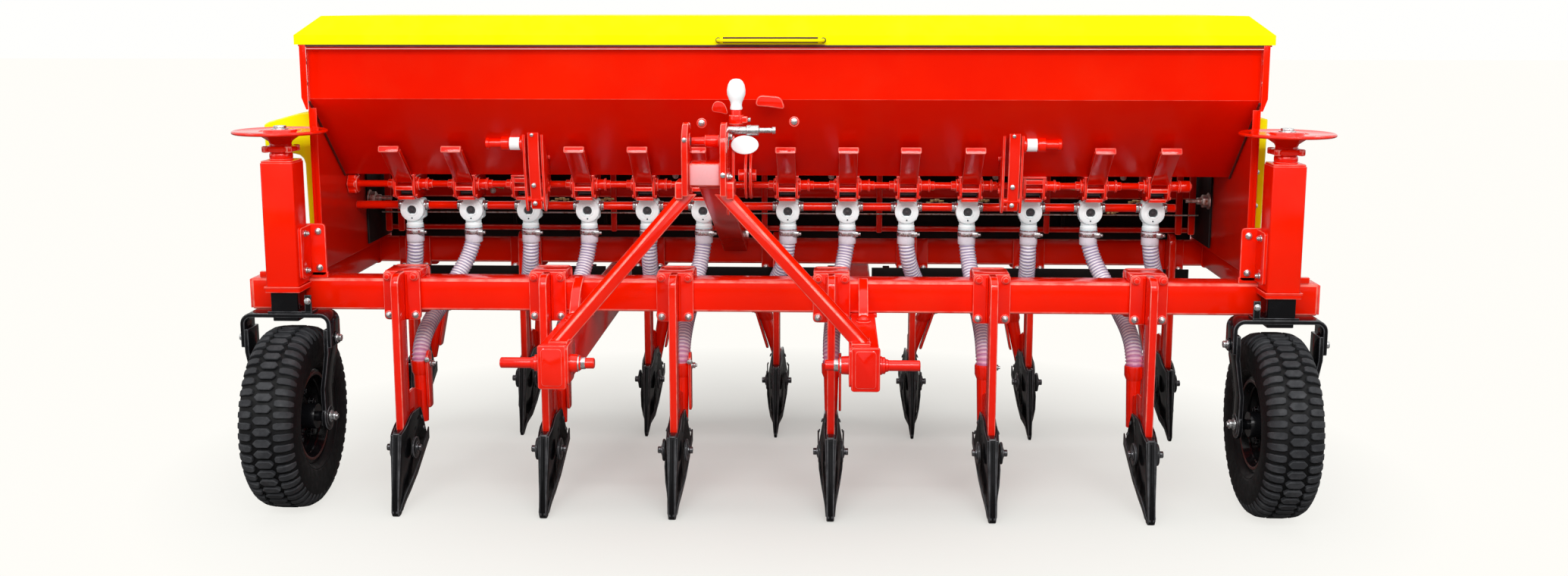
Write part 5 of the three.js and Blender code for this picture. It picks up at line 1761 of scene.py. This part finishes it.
@dataclass
class FeedRow(Assembly):
    """The feed housings, the shafts through them, and the outlets under them."""

    half_width: float = 27.0
    front: float = 262.0
    back: float = 384.0
    shaft_at: Point2 = (292.0, 722.0)
    shaft_span: Span = (-1107.0, 1020.0)
    outlet_at: Point2 = (350.0, 660.0)
    ring_front: float = 324.0
    ring_z: float = 650.0
    drum_at: Point2 = (322.0, 712.0)
    quadrants: Point2 = (-604.0, 558.0)

    def unit(self, with_arm: bool) -> Form:
        """Shapes one feed housing about x = 0.

        Args:
            with_arm: Whether it has the sloping arm that bears on the hopper.

        Returns:
            The shape.
        """
        form, half, front, back = Form(), self.half_width, self.front, self.back
        if with_arm:
            arm = [
                (front + 4, 736), (156, 822), (140, 822), (140, 816), (154, 816), (front, 729),
            ]
            form.plate(Axis.X, arm, (-half + 4, half - 4), 1.2)
            form.plate(Axis.X, [(138, 817), (144, 831.5), (152, 831.5), (158, 821)], (-half + 2, half - 2), 2.6, 3)
            for x in (-half + 4, half - 7):
                form.plate(Axis.X, [(front, 731), (160, 814), (168, 822), (front + 4, 748)], (x, x + 3), 0.8)
        cheek = [
            (front, 744), (front, 702), *bow((front + 4, 694), (front + 14, 684), (front + 44, 682)), (back, 682),
            (back, 744),
        ]
        for x in (-half, half - 6):
            form.plate(Axis.X, cheek, (x, x + 6), 1.2)
        for x, y, z, bevel in (
            (half + 2, (front - 3, back), (743.5, 748.7), 1.4),
            (half - 5, (front + 3, back - 3), (728, 741), 2.0),
            (half - 5, (front - 2, front + 10), (708, 719), 2.5),
            (half - 5, (front + 18, back - 2), (682, 691), 2.0),
        ):
            form.block((-x, x), y, z, bevel)
        for radius, start, end, sides, bevel in (
            (17, -half - 8, -half, 28, 1.5), (17, half, half + 7, 28, 1.5), (13, half + 6, half + 27, 28, 1.2),
            (16, half + 24, half + 29, 28, 1.0), (11, half + 28, half + 40, 24, 1.0),
            (12, -half - 20, -half - 7, 6, 1.2),
        ):
            form.rod(Axis.X, radius, (start, end), self.shaft_at, sides, bevel)
        for z in (694, 738):
            for out in (-1, 1):
                form.rod(Axis.X, 4.5, ordered(out * half, out * (half + 4)), (front + 12, z), 6, 0.7)
        return form

    def outlet(self) -> Form:
        """Shapes one white outlet about x = 0: the face ring, the body behind it and the neck."""
        front, z = self.ring_front, self.ring_z
        face = [
            (11.5, 0), (12, -1.6), (15.5, -1.6), (16.5, 0), (27.5, 0), (29.8, 1.5), (30.2, 4), (30.2, 20), (26, 22),
            (26, 30), (11.5, 30), (11.5, 6),
        ]
        form = Form().lathe(Axis.Y, [(r, h + front) for r, h in face], (0, 0, z), 48)
        form.block((-24, 27), (front + 16, 376), (z - 24, z + 27), 5, 3)
        form.block((-27, -18), (front + 20, 368), (z - 16, z + 14), 3)
        neck = [
            (0, 604.2), (20.5, 604.2), (21.5, 606), (21.5, 612), (20, 614), (20, 622), (23.5, 626), (23.5, 640),
            (0, 640),
        ]
        return form.lathe(Axis.Z, neck, (0, self.outlet_at[0], 0), 32)

    def clamp(self) -> Form:
        """Shapes one worm-drive clamp about x = 0."""
        y = self.outlet_at[0]
        form = Form().lathe(
            Axis.Z, [(22, 586.5), (23.6, 586.2), (23.9, 588), (23.9, 594), (23.6, 596), (22, 595.8)], (0, y, 0), 36
        )
        form.block((12, 28), (y - 22, y - 10), (585, 597), 2).rod(Axis.X, 4.2, (26, 34), (y - 16, 591), 6, 0.6)
        form.lathe(Axis.Z, [(21.8, 600), (23.4, 599.8), (23.4, 602.6), (21.8, 602.8)], (0, y, 0), 32)
        return form

    def cuff(self) -> Form:
        """Shapes the smooth clear cuff of one hose about x = 0."""
        wall = [(21.7, 603.6), (22.4, 603.6), (22.6, 575), (22.4, 566), (21.7, 565)]
        return Form().lathe(Axis.Z, wall, (0, self.outlet_at[0], 0), 28)

    def everywhere(self) -> list[Matrix]:
        """Gives the places of all the outlets."""
        return [shifted(x) for x in OUTLETS]

    def housings(self) -> None:
        """Builds the feed housings, the shaft through them and the drums in them, the drums painted dark as the shade
        in the housings' slots.
        """
        at_quadrant = [any(abs(place - x) < 75 for place in self.quadrants) for x in OUTLETS]
        plain = [shifted(x) for x, near in zip(OUTLETS, at_quadrant) if near]
        armed = [shifted(x) for x, near in zip(OUTLETS, at_quadrant) if not near]
        self.unit(True).copies(armed).deliver("feed_units", CAST_RED, "feed_row")
        self.unit(False).copies(plain).deliver("feed_units_plain", CAST_RED, "feed_row")
        start, end = self.shaft_span
        shaft = Form().rod(Axis.X, 8.5, (start, end), self.shaft_at, 24, 1.0)
        for at in round_steps(self.shaft_at, 19, 6):
            shaft.rod(Axis.X, 8, (start + 2, start + 22), at, 16, 2)
        shaft.rod(Axis.X, 22, (start + 1, start + 26), self.shaft_at, 32, 2)
        shaft.rod(Axis.X, 15, (end - 30, end - 4), self.shaft_at, 24, 2)
        shaft.deliver("feed_shaft", CAST_RED, "feed_row")
        # The drums take the near-black recess shade colour, as painted shade in the slots.
        drum = Form()
        drum.rod(Axis.X, 21, (-20, 20), self.drum_at, 24, 1)
        for at in round_steps(self.drum_at, 20, 8):
            drum.rod(Axis.X, 4.5, (-19, 19), at, 10)
        drum.copies(self.everywhere()).deliver("feed_drums", RECESS_SHADE, "feed_row")

    def outlets(self) -> None:
        """Builds the outlets with painted shade in their bores, the shaft and nuts, and the hoses' clamps and cuffs."""
        everywhere = self.everywhere()
        self.outlet().copies(everywhere).deliver("outlets", WHITE, "outlet_row")
        y, z = self.outlet_at
        ring, at = self.ring_front, (0.0, self.ring_z)
        # Painted shade: a dark tube and dot inside each outlet ring, for the shade in the bore.
        bore_shade = Form().rod(Axis.Y, 11.6, (ring + 4, ring + 28), at, 28).rod(Axis.Y, 5, (ring, ring + 6), at, 12, 0.8)
        bore_shade.rod(Axis.Y, 2.2, (ring - 0.8, ring + 1), (0, self.ring_z - 21), 10, 0.4)
        bore_shade.copies(everywhere).deliver("outlet_bore_shade", RECESS_SHADE, "outlet_row")
        rod = Form().rod(Axis.X, 10.5, (-1107, OUTLETS[-1] + 60), (y, z), 24, 1.0)
        rod.deliver("outlet_shaft", CAST_RED, "outlet_row")
        nuts = Form()
        for out in (1, -1):
            nuts.rod(Axis.X, 14, ordered(out * 27, out * 31), (y, z), 28, 0.8)
            nuts.rod(Axis.X, 12.5, ordered(out * 31, out * 40), (y, z), 6, 1.6)
        nuts.bolt(Axis.Y, 340, (21, 640), -1, 5.0)
        nuts.copies(everywhere).deliver("outlet_nuts", ZINC, "outlet_row")
        self.clamp().copies(everywhere).deliver("hose_clamps", ZINC)
        self.cuff().copies(everywhere).deliver("hose_cuffs", CUFF)

    def build(self) -> None:
        """Builds the row."""
        self.housings()
        self.outlets()


@dataclass
class Quadrant(Assembly):
    """A seed-rate quadrant: twin plates with a spacer, and a stub with a blank sleeve."""

    side: Side
    x: float
    gap: float = 19.0
    plate: float = 6.0
    pivot_at: Point2 = (150.0, 884.0)
    stub_at: Point2 = (158.0, 838.0)

    def build(self) -> None:
        """Builds the plates, the sleeve and the bolts."""
        s, node = self.side.sign, f"quadrant_{self.side.value}"
        edge = [
            *bow((143, 868), (140, 892), (166, 895), 6), *bow((176, 892), (246, 790), (238, 748), 8),
            *bow((236, 740), (216, 686), (188, 672), 5),
        ]
        back = bow((178, 668), (168, 668), (160, 700), 4) + bow((156, 740), (146, 800), (143, 850), 5)
        spine = bow((172, 676), (136, 780), (142, 884), 10)
        form = Form()
        for x in (-self.gap - self.plate, self.gap):
            form.plate(Axis.X, edge + back, (x, x + self.plate), 1.4)
            for y, z in ((190, 860), (212, 800), (204, 720)):
                form.rod(Axis.X, 7, (x + self.plate, x + self.plate + 4) if x > 0 else (x - 4, x), (y, z), 16, 1)
        form.plate(Axis.X, band(spine, 9), (-self.gap + 8, self.gap - 3), 1.8)
        for z in (870, 700):
            form.rod(Axis.X, 7, (-self.gap, self.gap), (166, z), 20, 0.8)
        form.rod(Axis.X, 8, ordered(-s * 30, s * 44), self.pivot_at, 20, 1)
        outer = self.gap + self.plate
        stub = [
            (0, 0), (21, 0), (21, 5), (14, 6), (14, 34), (18, 35), (18, 52), (11, 54), (11, 82), (14, 83), (14, 90),
            (12, 92), (0, 92),
        ]
        form.lathe(Axis.X, [(r, s * (outer + h)) for r, h in stub], (0, *self.stub_at), 28)
        # The blank white sleeve also stands for a painted highlight: the glare on the red stub.
        wall = [(15, 8), (16.6, 8), (16.6, 32), (15, 32)]
        sleeve = Form().lathe(Axis.X, [(r, s * (outer + h)) for r, h in wall], (0, *self.stub_at), 32)
        bolts = Form().ball((s * 46, *self.pivot_at), 8.5, rings=10)
        for y, z in ((139, 860), (146, 736), (158, 690)):
            bolts.bolt(Axis.Y, y, (0, z), -1, 8.0)
        for part, name, finish in ((form, "plates", CAST_RED), (sleeve, "sleeve", WHITE), (bolts, "bolts", ZINC)):
            part.move(shifted(self.x)).deliver(f"{node}_{name}", finish, node)


@dataclass
class Undergear(Assembly):
    """What lies behind the outlets: a board and a strip painted near black as the shade there, rails, rods, springs and
    chain.
    """

    half: float = 1096.0
    board_y: Span = (612.0, 618.0)
    board_z: Span = (560.0, 746.0)
    drive_at: Point2 = (430.0, 668.0)

    @property
    def wide(self) -> Span:
        """Gives the whole width between the hopper's ends."""
        return (-self.half, self.half)

    def board(self) -> None:
        """Builds a guessed board painted near black to stand for the shade behind the feed row, with its ribs, lips and
        bolts.
        """
        (front, back), (low, top) = self.board_y, self.board_z
        board = Form().block(self.wide, self.board_y, self.board_z, 1.5)
        for x in ((-self.half, -182), (-106, self.half)):
            board.block(x, (front - 14, front - 9), (low - 20, low + 8), 1.2)
        for s in (-1, 1):
            board.block(ordered(s * 1101, s * 1106), (420, back), (low - 14, top + 30), 1.5)
        for x in range(-1000, 1001, 250):
            board.block((x - 5, x + 5), (front - 14, front + 1), (low + 4, top - 4), 1.5)
        for z in (low, top - 5):
            board.block(self.wide, (back - 1, back + 16), (z, z + 5), 1.2)
        fixings = Form()
        for x in range(-1040, 1041, 260):
            board.block((x - 14, x + 14), (back - 1, back + 4), (low + 4, top - 4), 1.2)
            board.block((x - 2.5, x + 2.5), (back + 3, back + 14), (low + 4, top - 4), 1.0)
            for z in (low + 34, top - 34):
                fixings.bolt(Axis.Y, back + 4, (x + 9, z), 1, 11.0, 3.0)
        board.deliver("board_painted_shade", SHADE_BLACK)
        fixings.deliver("board_bolts", OILED_STEEL)

    def rails(self) -> None:
        """Builds the rails along the board and the uprights between them."""
        rails = Form().block(self.wide, (560, 592), (655, 692), 4, 3)
        rails.block(self.wide, (586, 606), (560, 574), 3)
        for s in (-1, 1):
            for x in (1050, 1084):
                rails.panel(Axis.Y, (s * x - 9, s * x + 9), (562, 744), 6, (540, 548), 1.5)
        for x in (-470, -60, 250, 700):
            rails.panel(Axis.Y, (x - 8, x + 8), (562, 742), 5, (552, 558), 1.5)
        rails.deliver("rear_rails", RED)

    def rods(self) -> None:
        """Builds the thin control rods with their bolts."""
        rods = Form().rod(Axis.X, 2.2, self.wide, (520, 618), 12)
        rods.rod(Axis.X, 3, (-980, 860), (500, 700), 12)
        for x in (-860, -300, 120, 560, 900):
            rods.bolt(Axis.Y, 548, (x, 716), -1, 12.0, 4.0).bolt(Axis.Y, 560, (x + 60, 672), -1, 11.0)
        for s in (-1, 1):
            rods.bolt(Axis.X, s * 1099, self.drive_at, -s, 30.0, 12.0)
            rods.rod(Axis.X, 5, ordered(s * 1099, s * 1040), self.drive_at, 16)
        rods.deliver("control_rods", RUSTED_ZINC)

    def strip(self) -> None:
        """Builds a painted shadow: a dark strip along the rear bar's lower front edge, on its short brackets."""
        strip = Form()
        for x in ((-self.half, -502), (-430, 160), (232, self.half)):
            strip.block(x, (598, 603), (433, 458), 1.2)
            for at in (x[0] + 40, x[1] - 40):
                strip.block((at - 9, at + 9), (602, 634), (452, 458), 1.2)
        strip.deliver("painted_shadow_strip", SHADE_BLACK)

    def springs(self) -> None:
        """Builds the light springs and the chain behind the outlets."""
        brass = Form()
        for start in (-900, -180, 240, 620):
            coil = [(start + 1.6 * i, 470 + 9 * math.cos(i * 0.8), 700 + 9 * math.sin(i * 0.8)) for i in range(58)]
            brass.wire(coil, 1.5, 6)
            brass.wire([(start - 60, 470, 700), (start, 470, 700)], 2.2, 8)
            brass.wire([(start + 90, 470, 700), (start + 150, 468, 690)], 2.2, 8)
        for start in (-640, 360, 760):
            for i in range(16):
                x, z = start + 11 * i, 640 + 16 * math.sin(i * 0.55)
                brass.block((x, x + 9), (486, 492), (z, z + 7), 1.5)
                brass.block((x + 7, x + 15), (494, 499), (z + 1, z + 6), 1.2)
        brass.deliver("springs_and_chain", YELLOW_ZINC)

    def build(self) -> None:
        """Builds the board and all that shows before it."""
        self.board()
        self.rails()
        self.rods()
        self.strip()
        self.springs()


def machine() -> Iterator[Assembly]:
    """Gives the machine's assemblies in order."""
    yield CrossFrame()
    yield from tines()
    for side in Side:
        yield DepthWheel(side)
    yield Hitch()
    yield Hopper()
    yield FeedRow()
    yield Quadrant(Side.LEFT, -604.0)
    yield Quadrant(Side.RIGHT, 558.0)
    yield Undergear()


def main() -> None:
    """Builds the studio, then each assembly in order."""
    logging.basicConfig(level=logging.INFO, format="%(name)s: %(message)s")
    bpy.context.scene.view_settings.view_transform = "Standard"
    studio = Studio()
    studio.set_camera()
    for hose in seed_hoses():
        hose.build()
    studio.light()
    studio.lay_floor()
    for assembly in machine():
        assembly.build()
        log.info("%s is built", type(assembly).__name__)


if __name__ == "__main__":
    main()
